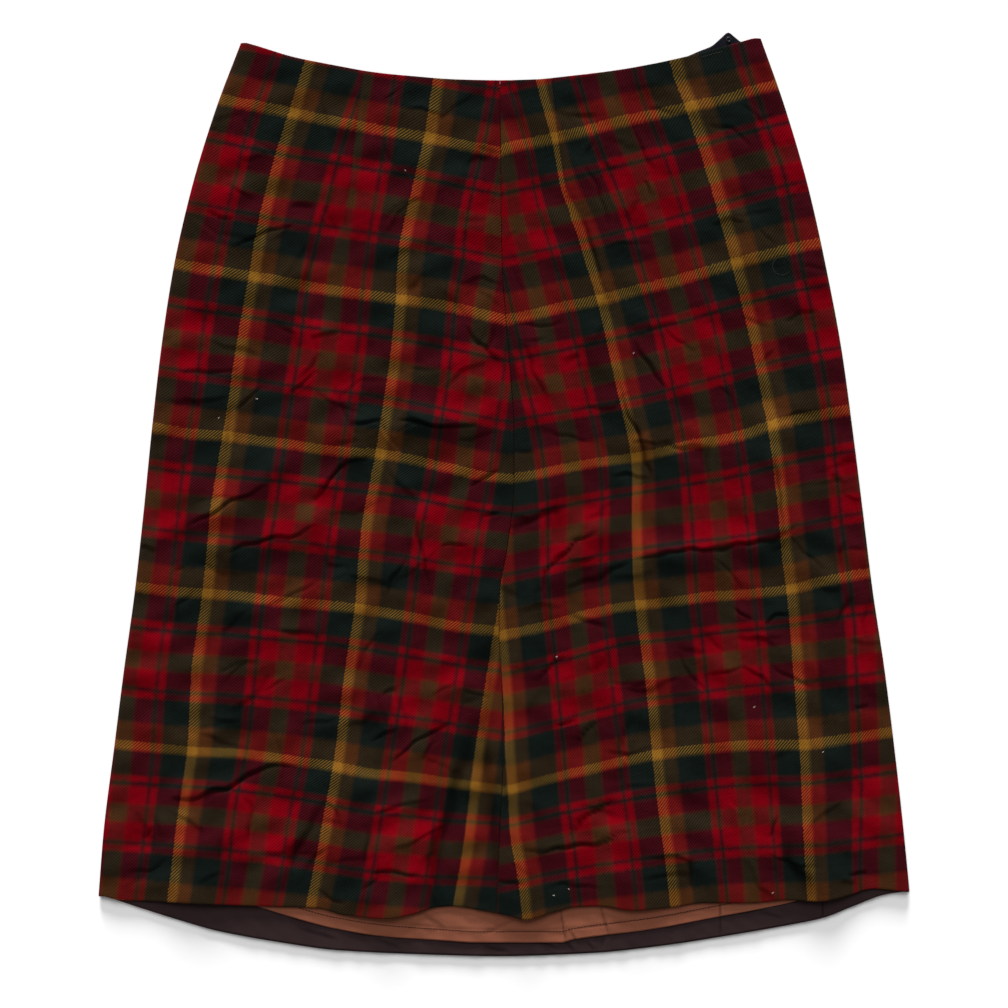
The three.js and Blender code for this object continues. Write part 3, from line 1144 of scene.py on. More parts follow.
def finish_piece(mesh: Mesh, name: str, finish: Material) -> Object:
    """Turn a mesh into a smooth, dressed object at the origin.

    Args:
        mesh: The mesh.
        name: The piece's name.
        finish: Its material.

    Returns:
        The piece.
    """
    mesh.name = name
    mesh.materials.append(finish)
    mesh.shade_smooth()
    piece = bpy.data.objects.new(name, mesh)
    bpy.context.scene.collection.objects.link(piece)
    return piece


def apply_modifiers(piece: Object) -> None:
    """Make a piece's modifiers part of its mesh.

    Args:
        piece: The piece.
    """
    graph = bpy.context.evaluated_depsgraph_get()
    made = bpy.data.meshes.new_from_object(piece.evaluated_get(graph))
    made.name = piece.name
    piece.modifiers.clear()
    piece.data = made


def thicken(piece: Object, wall: float, group: str = "") -> None:
    """Give a sheet its wall, in millimetres, on the inner side of its face.

    Args:
        piece: The sheet.
        wall: The wall's thickness.
        group: The vertex group that thins it, if there is one.
    """
    solid = piece.modifiers.new("wall", "SOLIDIFY")
    solid.thickness = wall * MM
    solid.offset = -1.0
    solid.use_even_offset = False
    if group:
        solid.vertex_group = group
    apply_modifiers(piece)
    piece.data.shade_smooth()


@dataclass(frozen=True)
class TurnedEdge:
    """The steps of a turned edge, from the face on.

    Attributes:
        aside: How far each step lies to the side.
        drop: How far it lies under the face.
        run: Its way along the cloth.
    """

    aside: Array
    drop: Array
    run: Array


@dataclass(frozen=True)
class Rows:
    """The rows of a gore from waist to hem, with both turned edges, each value in a column.

    Attributes:
        down: The share of the way from waist to hem.
        waist_inset, hem_inset: How far the row lies inside the waist's or the hem's edge.
        drop: How far it lies under the face.
        run: Its way along the turned cloth.
        in_waist, in_hem: Whether it belongs to the waist's or the hem's turned edge.
    """

    down: Array
    waist_inset: Array
    hem_inset: Array
    drop: Array
    run: Array
    in_waist: Array
    in_hem: Array


@dataclass(frozen=True)
class Columns:
    """The columns of a gore from the centre seam to the side, with both turned edges.

    Attributes:
        shares: The share of the way from seam to side, row by row.
        dart: The column that runs down the dart.
        out: How far the column lies beyond the face.
        run: Its way along the turned cloth.
        drop: How far it lies under the face.
        stay: How much of the face's level it keeps, from 1 on the face to 0 at the side seam.
    """

    shares: Array
    dart: int
    out: Array
    run: Array
    drop: Array
    stay: Array


@dataclass(frozen=True)
class Ground:
    """Where a gore's places lie, in millimetres.

    Attributes:
        x, y: Their places on the page.
        flat_x, flat_y: The same with the turned edges laid flat.
        from_edge: How far they are from the waist's or the hem's edge.
        from_seam: How far they are from the centre seam.
    """

    x: Array
    y: Array
    flat_x: Array
    flat_y: Array
    from_edge: Array
    from_seam: Array


@dataclass(frozen=True)
class FrontGore:
    """One half of the front: a sheet of wool, turned under at hem, waist and seam, and over at its side.

    Attributes:
        node: The solid that it stands for.
        side: Which half it is.
        across_grain: The repeats across.
        down_grain: The repeats down.
        dart: Its waist dart.
        creases: Its main creases, in millimetres.
        seed: Picks its small unevenness.
        flat: The cut's width and length in metres, which is not used.
        area: The cut's area in square metres, which is not used.
        fold_radius: The radius of the fold at hem and waist.
        under: How much cloth lies turned under there.
        seam_radius, seam_depth, seam_spare: The seam's turned edge, how far down it goes, and its spare.
        scatter: How many small creases there are.
        stretch: How far out, down and up they are scattered.
        sway: How the creases' paths waver.
        swell, crumple: Its broad and its finest unevenness between the creases.
        relief_range: The least and the most of its relief.
        seam_hold, seam_hold_reach: The share of the relief left at the centre seam, and how far that reaches.
        allowance, allowance_height: Where the seam allowance's step ends and starts, and its height.
        edge_reach, edge_dip, edge_rise: How far waist and hem hold the cloth, and the share of each
            sinking and each rise that they leave.
        ease: How far a corner's closing reaches.
        tuck: How much further in the side's turned edge lies under waist and hem.
    """

    name: str
    node: str
    side: Side
    across_grain: Grain
    down_grain: Grain
    dart: Dart
    creases: tuple[Crease, ...]
    seed: int
    flat: Pair
    area: float
    columns: int = 186
    rows: int = 478
    turn_steps: int = 6
    fold_radius: float = 0.75
    under: float = 9.0
    seam_radius: float = 0.45
    seam_depth: float = 1.5
    seam_spare: float = 0.3
    scatter: int = 110
    stretch: tuple[float, float, float] = (275.0, -285.0, 290.0)
    sway: Ripple = Ripple(1.3, 16.0, 45.0)
    swell: Ripple = Ripple(0.6, 18.0, 50.0)
    crumple: Ripple = Ripple(0.06, 4.0, 9.0, 20)
    relief_range: Pair = (-1.6, 3.4)
    seam_hold: float = 0.35
    seam_hold_reach: float = 9.0
    allowance: Pair = (17.0, 13.0)
    allowance_height: float = 0.32
    edge_reach: float = 14.0
    edge_dip: float = 0.25
    edge_rise: float = 0.4
    ease: float = 3.0
    tuck: float = 0.3

    def panel(self) -> Panel:
        """Give the gore's edges on the page.

        Returns:
            The panel between them.
        """
        sign = self.side.value
        left = self.side is Side.LEFT
        return Panel(
            start=CENTRE_SEAM,
            end=LEFT_SIDE if left else RIGHT_SIDE,
            start_shift=sign * (GAP / 2.0 + self.seam_radius),
            end_shift=-sign * SIDE_ROUND,
            start_span=SEAM_SPAN,
            end_span=LEFT_SPAN if left else RIGHT_SPAN,
            waist=FRONT_WAIST,
            hem=FRONT_HEM,
        )

    def fold(self) -> TurnedEdge:
        """Give the turned edge of hem and waist: half a turn, and the cloth that lies under the face.

        Returns:
            Its steps.
        """
        angle = np.linspace(0.0, math.pi, self.turn_steps + 1)[1:]
        under = np.array([self.under * 0.4, self.under])
        aside = self.fold_radius * (1.0 - np.sin(angle))
        drop = self.fold_radius * (1.0 - np.cos(angle))
        run = self.fold_radius * angle
        return TurnedEdge(
            np.concatenate([aside, aside[-1] + under]),
            np.concatenate([drop, [drop[-1], drop[-1]]]),
            np.concatenate([run, run[-1] + under]),
        )

    def seam(self) -> TurnedEdge:
        """Give the turned edge of the centre seam: a quarter of a turn, and a short way down.

        Returns:
            Its steps.
        """
        quarter = quarter_turn(self.turn_steps)
        return TurnedEdge(
            np.concatenate([self.seam_radius * np.sin(quarter), [self.seam_radius]]),
            np.concatenate([self.seam_radius * (1.0 - np.cos(quarter)), [self.seam_depth]]),
            np.concatenate([self.seam_radius * quarter, [self.seam_depth + self.seam_spare]]),
        )

    def lay_rows(self) -> Rows:
        """Lay the rows from waist to hem.

        Returns:
            The rows.
        """
        fold = self.fold()
        count = len(fold.aside)
        none = np.zeros(count)
        face = np.zeros(self.rows)
        rim = np.full(self.rows, self.fold_radius)
        number = np.arange(self.rows + 2 * count)
        return Rows(
            down=np.concatenate([none, np.linspace(0.0, 1.0, self.rows), np.ones(count)])[:, None],
            waist_inset=np.concatenate([fold.aside[::-1], rim, none])[:, None],
            hem_inset=np.concatenate([none, rim, fold.aside])[:, None],
            drop=np.concatenate([fold.drop[::-1], face, fold.drop])[:, None],
            run=np.concatenate([fold.run[::-1], face, -fold.run])[:, None],
            in_waist=(number < count)[:, None],
            in_hem=(number >= count + self.rows)[:, None],
        )

    def lay_columns(self, panel: Panel, down: Array) -> Columns:
        """Lay the columns from seam to side, slid so that one of them runs down the dart.

        Args:
            panel: The gore's edges.
            down: The rows' shares of the way from waist to hem.

        Returns:
            The columns.
        """
        even = np.linspace(0.0, 1.0, self.columns)
        waist_y, hem_y = panel.start_span
        start = panel.row_x(np.zeros(1), down)
        end = panel.row_x(np.ones(1), down)
        dart_share = (self.dart.line.at(waist_y + (hem_y - waist_y) * down) - start) / (end - start)
        dart_column = int(round(float(dart_share[0, 0]) * (self.columns - 1)))
        at_dart = even[dart_column]
        inner = even / at_dart * dart_share
        outer = dart_share + (even - at_dart) / (1.0 - at_dart) * (1.0 - dart_share)
        face_shares = np.where(np.arange(self.columns) <= dart_column, inner, outer)

        seam = self.seam()
        quarter = quarter_turn(self.turn_steps)
        before = len(seam.aside)
        after = len(quarter)
        face = np.zeros(self.columns)
        return Columns(
            shares=np.pad(face_shares, ((0, 0), (before, after)), constant_values=((0, 0), (0.0, 1.0))),
            dart=before + dart_column,
            out=np.concatenate([-seam.aside[::-1], face, SIDE_ROUND * np.sin(quarter)]),
            run=np.concatenate([-seam.run[::-1], face, SIDE_ROUND * quarter]),
            drop=np.concatenate([seam.drop[::-1], face, np.zeros(after)]),
            stay=np.concatenate([np.ones(before + self.columns), np.cos(quarter)]),
        )

    def lay_ground(self, panel: Panel, rows: Rows, columns: Columns) -> Ground:
        """Lay the gore's places on the page and on the flat cloth.

        Args:
            panel: The gore's edges.
            rows: Its rows.
            columns: Its columns.

        Returns:
            The places.
        """
        shares = columns.shares
        down = np.repeat(rows.down, shares.shape[1], axis=1)
        x, y = panel.place(shares, down, self.fold_radius)
        upper = panel.waist.at(panel.row_x(shares, 0.0))
        lower = panel.hem.at(panel.row_x(shares, 1.0))
        y = np.where(rows.in_waist, upper - rows.waist_inset, y)
        y = np.where(rows.in_hem, lower + rows.hem_inset, y)
        flat_y = np.where(rows.in_waist, upper - self.fold_radius + rows.run, y)
        flat_y = np.where(rows.in_hem, lower + self.fold_radius + rows.run, flat_y)
        return Ground(
            x=x,
            y=y,
            flat_x=x + self.side.value * columns.run,
            flat_y=flat_y,
            from_edge=np.minimum(np.abs(y - upper), np.abs(y - lower)),
            from_seam=np.abs(x - panel.row_x(np.zeros_like(shares), down)),
        )

    def relief(self, x: Array, y: Array) -> tuple[Array, Array]:
        """Give the creases' height over the front's level, and the shade painted along them.

        Args:
            x: The places' widths.
            y: The places' heights on the page.

        Returns:
            The relief in millimetres, and the painted shade from 0 to 1.
        """
        shift_x = x + self.sway.at(x, y, self.seed + 1)
        shift_y = y + self.sway.at(x, y, self.seed + 2)
        out, lowest, highest = self.stretch
        end = self.side.value * out
        low = (min(0.0, end), lowest)
        high = (max(0.0, end), highest)
        height = np.zeros_like(x)
        pressed = np.zeros_like(x)
        for crease in (*self.creases, *Scatter(self.seed, self.scatter, low, high).creases()):
            crease.add_to(height, pressed, shift_x, shift_y)
        height += self.swell.at(x, y, self.seed + 3)
        height += self.crumple.at(x, y, self.seed + 4)
        return np.clip(height, *self.relief_range), np.clip(pressed, 0.0, 1.0)

    def top(self, x: Array, y: Array) -> tuple[Array, Array]:
        """Give the level of its outer face away from its edges, and the shade painted along its creases."""
        relief, pressed = self.relief(x, y)
        return front_level(x, y) + relief, pressed

    def held_relief(self, ground: Ground) -> tuple[Array, Array]:
        """Give the relief as seam, dart, waist and hem hold it, and the shade painted along its creases.

        Args:
            ground: The gore's places.

        Returns:
            The relief in millimetres, and the painted shade from 0 to 1.
        """
        relief, pressed = self.relief(ground.x, ground.y)
        seam_free = smoothstep(ground.from_seam, 0.0, self.seam_hold_reach)
        relief *= self.seam_hold + (1.0 - self.seam_hold) * seam_free
        allowance = smoothstep(ground.from_seam, *self.allowance)
        relief += self.allowance_height * (allowance * smoothstep(ground.from_seam, 0.0, self.ease))
        relief -= self.dart.groove(ground.x, ground.y)
        free = smoothstep(ground.from_edge, 0.0, self.edge_reach)
        dip = self.edge_dip + (1.0 - self.edge_dip) * free
        rise = self.edge_rise + (1.0 - self.edge_rise) * free
        return np.where(relief < 0.0, relief * dip, relief * rise), pressed

    def build(self, finish: Material) -> Object:
        """Build and dress the gore.

        Args:
            finish: The wool.

        Returns:
            The gore.
        """
        sign = self.side.value
        panel = self.panel()
        rows = self.lay_rows()
        columns = self.lay_columns(panel, rows.down)
        ground = self.lay_ground(panel, rows, columns)
        relief, pressed = self.held_relief(ground)

        at_edge = 1.0 - smoothstep(ground.from_edge, 0.0, self.ease)
        closing = at_edge * (1.0 - smoothstep(ground.from_seam, 0.0, self.ease))
        x = ground.x - sign * GAP / 2.0 * closing
        under = rows.drop / (2.0 * self.fold_radius)
        face = front_level(x, ground.y) + relief - rows.drop - columns.drop * (1.0 - under)
        seam_level = SIDE_SEAM + GAP
        z = seam_level + (face - seam_level) * columns.stay
        x = x + sign * columns.out * (1.0 - self.tuck * under * (1.0 - columns.stay))

        mesh = grid_sheet(x.shape[1], x.shape[0])
        lay_out(mesh, x, ground.y, z)
        self.map_cloth(mesh, ground, columns)
        # Painted shade along the creases, which darkens the wool's colour.
        set_painted_shade(mesh, pressed)
        piece = finish_piece(mesh, self.name, finish)
        face_up(mesh)
        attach(piece, "root")
        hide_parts(self.node)
        return piece

    def map_cloth(self, mesh: Mesh, ground: Ground, columns: Columns) -> None:
        """Write where the gore lies on the cloth, with the jump over its dart.

        Args:
            mesh: The gore's mesh.
            ground: Its places.
            columns: Its columns.
        """
        place, face_of = corner_places(mesh)
        past_dart = face_of % (columns.shares.shape[1] - 1) >= columns.dart
        on_right = past_dart if self.side is Side.RIGHT else ~past_dart
        u = self.across_grain.at(ground.flat_x, ground.flat_y, self.dart).ravel()[place]
        u = u + np.where(on_right, self.dart.jump(ground.flat_y.ravel()[place]), 0.0)
        v = self.down_grain.at(ground.flat_x, ground.flat_y).ravel()[place]
        set_cloth_map(mesh, u * REPEAT_ACROSS, v * REPEAT_DOWN)


@dataclass(frozen=True)
class BackPanel:
    """The back: one plain panel that lies flat and turns up at both sides.

    Attributes:
        fine_columns: How many of its columns stand closer together, under the waist opening.
        fine_from: The share of the way across where those start.
        side_wall: The share of its thickness that is left at the side seams.
    """

    name: str = "back_panel"
    columns: int = 150
    fine_columns: int = 56
    fine_from: float = 0.76
    rows: int = 170
    turn_steps: int = 6
    wall: float = 1.5
    side_wall: float = 0.35

    def build(self, finish: Material) -> Object:
        """Build and dress the back.

        Args:
            finish: The wool.

        Returns:
            The back.
        """
        panel = Panel(
            start=LEFT_SIDE, end=RIGHT_SIDE, start_shift=SIDE_ROUND, end_shift=-SIDE_ROUND,
            start_span=LEFT_SPAN, end_span=RIGHT_SPAN, waist=BACK_WAIST, hem=BACK_HEM,
        )
        coarse_columns = self.columns - self.fine_columns
        coarse = np.linspace(0.0, self.fine_from, coarse_columns, endpoint=False)
        across = np.concatenate([coarse, np.linspace(self.fine_from, 1.0, self.fine_columns)])
        shares = np.concatenate([np.zeros(self.turn_steps), across, np.ones(self.turn_steps)])
        quarter = quarter_turn(self.turn_steps)
        turned = SIDE_ROUND * np.sin(quarter)
        out = np.concatenate([-turned[::-1], np.zeros(self.columns), turned])
        stay = np.concatenate([np.cos(quarter)[::-1], np.ones(self.columns), np.cos(quarter)])
        x, y = panel.place(*np.meshgrid(shares, np.linspace(0.0, 1.0, self.rows)), 0.0)
        x = x + out
        z = SIDE_SEAM * (1.0 - stay) + 0.0 * x

        mesh = grid_sheet(len(shares), self.rows)
        lay_out(mesh, x, y, z)
        place, _ = corner_places(mesh)
        set_cloth_map(mesh, x.ravel()[place] * MM, -y.ravel()[place] * MM)
        piece = finish_piece(mesh, self.name, finish)
        face_up(mesh)
        mesh.flip_normals()
        group = piece.vertex_groups.new(name="wall")
        walls = np.repeat((self.side_wall + (1.0 - self.side_wall) * stay)[None, :], self.rows, axis=0)
        for share in np.unique(walls):
            group.add([int(i) for i in np.nonzero(walls.ravel() == share)[0]], float(share), "REPLACE")
        thicken(piece, self.wall, "wall")
        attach(piece, "root")
        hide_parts("back")
        return piece


@dataclass(frozen=True)
class Strip:
    """A thin strip of plain cloth between an upper and a lower edge.

    Attributes:
        node: The solid that it stands for.
        slot: The name of a material slot, which is not used.
        first: Where it starts, by width.
        last: Where it ends, by width.
        base: The level of its underside.
        seed: Picks its small unevenness.
        wave: Its unevenness.
        relief_range: The least and the most of its relief.
    """

    name: str
    node: str
    slot: str
    first: float
    last: float
    base: float
    wall: float
    creases: tuple[Crease, ...]
    seed: int
    columns: int
    rows: int
    wave: Ripple = Ripple(0.16, 9.0, 34.0)
    relief_range: Pair = (-0.35, 0.8)

    def stations(self) -> Array:
        """Give the columns' widths."""
        return np.linspace(self.first, self.last, self.columns)

    def top(self, x: Array, y: Array) -> tuple[Array, Array]:
        """Give the level of its outer face, and the shade painted along its creases.

        Args:
            x: The places' widths.
            y: The places' heights on the page.

        Returns:
            The level in millimetres, and the painted shade from 0 to 1.
        """
        relief = self.wave.at(x, y, self.seed)
        pressed = np.zeros_like(x)
        for crease in self.creases:
            crease.add_to(relief, pressed, x, y)
        return self.base + THIN + np.clip(relief, *self.relief_range), np.clip(pressed, 0.0, 1.0)

    def build(self, upper: Array, lower: Array, finish: Material) -> Object:
        """Build and dress the strip.

        Args:
            upper: The upper edge at each column.
            lower: The lower edge at each column.
            finish: The cloth.

        Returns:
            The strip.
        """
        x = np.repeat(self.stations()[None, :], self.rows, axis=0)
        y = upper + (lower - upper) * np.linspace(0.0, 1.0, self.rows)[:, None]
        level, pressed = self.top(x, y)
        mesh = grid_sheet(self.columns, self.rows)
        lay_out(mesh, x, y, level)
        # Painted shade along the creases, which darkens the cloth's colour.
        set_painted_shade(mesh, pressed)
        piece = finish_piece(mesh, self.name, finish)
        face_up(mesh)
        thicken(piece, self.wall)
        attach(piece, "root")
        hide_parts(self.node)
        return piece


LEFT_GORE = FrontGore(
    name="left_gore",
    node="front_left",
    side=Side.LEFT,
    across_grain=Grain((
        (-2, ((-141, 319), (-152, 282), (-160, 258), (-168, 229), (-175, 200), (-181, 163),
             (-191, 108), (-200, 48), (-209, -4), (-215, -67), (-223, -122), (-226, -183),
             (-235, -244), (-240, -286))),
        (-1, ((-47, 306), (-53, 264), (-66, 211), (-73, 178), (-74, 146), (-79, 100), (-85, 60),
             (-89, 34), (-99, -15), (-104, -78), (-112, -127), (-120, -194), (-130, -248), (-140, -295))),
        (0, ((-3, -95), (-7, -118), (-11, -143), (-15, -169), (-20, -207), (-23, -234), (-26, -257),
             (-31, -284))),
        (-2.437, ((-187, 324), (-198, 298), (-205, 282), (-215, 237), (-227, 197), (-236, 157),
             (-242, 116), (-245, 82), (-253, 36), (-255, 6), (-260, -40), (-265, -73), (-270, -113),
             (-275, -149))),
        (-1.437, ((-122, 162), (-127, 111), (-133, 75), (-137, 46), (-144, -9), (-150, -44),
             (-155, -84), (-159, -124), (-163, -157), (-170, -200), (-177, -227), (-180, -269),
             (-184, -288))),
        (-0.437, ((-6, 207), (-9, 166), (-15, 142), (-17, 120), (-20, 84), (-26, 51), (-31, 9),
             (-39, -22), (-43, -62), (-48, -87), (-54, -138), (-64, -193), (-67, -215), (-72, -248),
             (-77, -284))),
        (-1.55, ((-115, 235), (-122, 207))),
        (-1.659, ((-103, 308),)),
        (-1.323, ((-88, 308), (-93, 282), (-99, 232), (-103, 206))),
    )),
    down_grain=Grain((
        (0, ((-205, 292), (-179, 287), (-152, 282), (-130, 277), (-106, 273), (-86, 269), (-53, 264),
             (-31, 259), (-4, 254))),
        (1, ((-237, 172), (-210, 167), (-181, 163), (-159, 159), (-133, 154), (-111, 151), (-74, 146),
             (-50, 143), (-24, 138), (-13, 135), (-1, 132))),
        (2, ((-253, 53), (-226, 48), (-200, 47), (-177, 43), (-155, 41), (-133, 37), (-115, 35),
             (-89, 34), (-68, 30), (-46, 25), (-28, 21), (-13, 17), (5, 16))),
        (3, ((-264, -63), (-245, -66), (-215, -68), (-190, -70), (-162, -74), (-133, -76), (-104, -79),
             (-79, -83), (-57, -87), (-35, -92), (-17, -94), (-2, -95))),
        (4, ((-277, -178), (-246, -181), (-226, -183), (-199, -184), (-177, -186), (-151, -190),
             (-120, -194), (-97, -199), (-70, -201), (-50, -204), (-31, -207), (-20, -208), (-6, -210))),
        (0.444, ((-184, 232), (-159, 226), (-141, 225), (-81, 215), (-46, 208), (-33, 205))),
        (1.444, ((-208, 113), (-179, 110), (-162, 106), (-93, 98), (-66, 92), (-53, 90))),
        (2.444, ((-224, -3), (-191, -6), (-144, -9), (-111, -15), (-79, -18), (-41, -25), (-4, -29))),
        (3.444, ((-235, -119), (-202, -120), (-159, -124), (-122, -127), (-88, -134), (-53, -138),
             (-23, -144))),
        (4.444, ((-242, -229), (-213, -230), (-144, -240), (-115, -246), (-97, -249), (-71, -251),
             (-42, -255), (-12, -254))),
        (4.845, ((-221, -281),)),
    )),
    dart=Dart(Curve(((-300, -136), (186, -115), (249, -109), (312, -101))), 0.205, 176, 312),
    creases=(
        Crease(((-236, 93), (-213, 93), (-193, 95)), 0.56, 0.68),
        Crease(((-193, 65), (-186, 74), (-175, 82)), 0.8, 0.82),
        Crease(((-156, 77), (-145, 85), (-135, 96)), 0.72, 0.68),
        Crease(((-111, 55), (-98, 57), (-87, 59)), 0.96, 0.88),
        Crease(((-76, 59), (-54, 55), (-34, 52), (-20, 52)), 1.3, 1.6, 1.4, 9),
        Crease(((-34, 43), (-23, 42), (-7, 50)), 0.56, 0.54),
        Crease(((-26, 9), (-17, 15), (-2, 22)), 0.96, 0.82),
        Crease(((-138, -1), (-128, 11), (-119, 23), (-110, 28), (-97, 31)), 1.2, 1.3, 1.4),
        Crease(((-230, -19), (-212, -10), (-197, -1), (-182, 5), (-171, 12)), 1.1, 1.4, 1.2, 8),
        Crease(((-202, -38), (-189, -33), (-175, -29), (-156, -27), (-136, -19)), 1, 1.2, 1.2, 8),
        Crease(((-62, -14), (-60, -30), (-57, -51), (-51, -71)), 1.2, -1.3, 1.2, 8),
        Crease(((-45, -34), (-34, -33), (-26, -31)), 0.88, 0.61, 0.96),
        Crease(((-15, -14), (-2, -8)), 0.8, 0.61),
        Crease(((-240, -52), (-232, -48)), 0.56, 0.34),
        Crease(((-208, -123), (-191, -120)), 0.48, 0.41),
        Crease(((-241, -218), (-221, -216), (-200, -209), (-186, -201), (-171, -196), (-149, -193)),
               1.3, 1.4, 1.4, 8),
        Crease(((-254, -230), (-250, -245)), 0.72, 0.48),
        Crease(((-261, -246), (-255, -239)), 0.72, 0.48),
        Crease(((-189, -216), (-183, -225), (-182, -236), (-189, -251)), 0.88, -0.75),
        Crease(((-130, -219), (-141, -240), (-152, -255), (-158, -279)), 0.96, -0.95, 3, 9),
        Crease(((-98, -240), (-101, -266)), 0.8, 0.68, 1.9),
        Crease(((-95, -269), (-78, -272), (-61, -273)), 0.8, 0.68),
        Crease(((-80, -191), (-65, -178), (-52, -169), (-37, -162)), 0.88, 0.95),
        Crease(((-59, -191), (-50, -175)), 0.64, 0.48),
        Crease(((-91, -229), (-74, -225)), 0.64, 0.48),
        Crease(((-17, -158), (-26, -180), (-33, -203), (-41, -232), (-50, -260), (-52, -283), (-50, -297)),
               1.3, -1.2, 5.5, 13),
        Crease(((-135, -283), (-125, -292), (-115, -293)), 0.72, 0.54),
        Crease(((-9, -87), (-13, -175), (-2, -291)), 0.8, 0.34, 5, 12),
        Crease(((-216, 210), (-196, 205)), 0.64, 0.68, 1.3),
        Crease(((-196, 184), (-170, 196), (-152, 200)), 0.8, 0.88),
        Crease(((-131, 297), (-127, 262)), 0.48, 0.48, 0.96),
        Crease(((-232, 258), (-208, 272)), 0.56, 0.54),
        Crease(((-30, 128), (-12, 112), (-3, 98)), 0.8, 0.88, 1.3),
        Crease(((-88, 292), (-74, 300)), 0.48, 0.48),
    ),
    seed=41,
    flat=(0.31, 0.66),
    area=0.158,
)

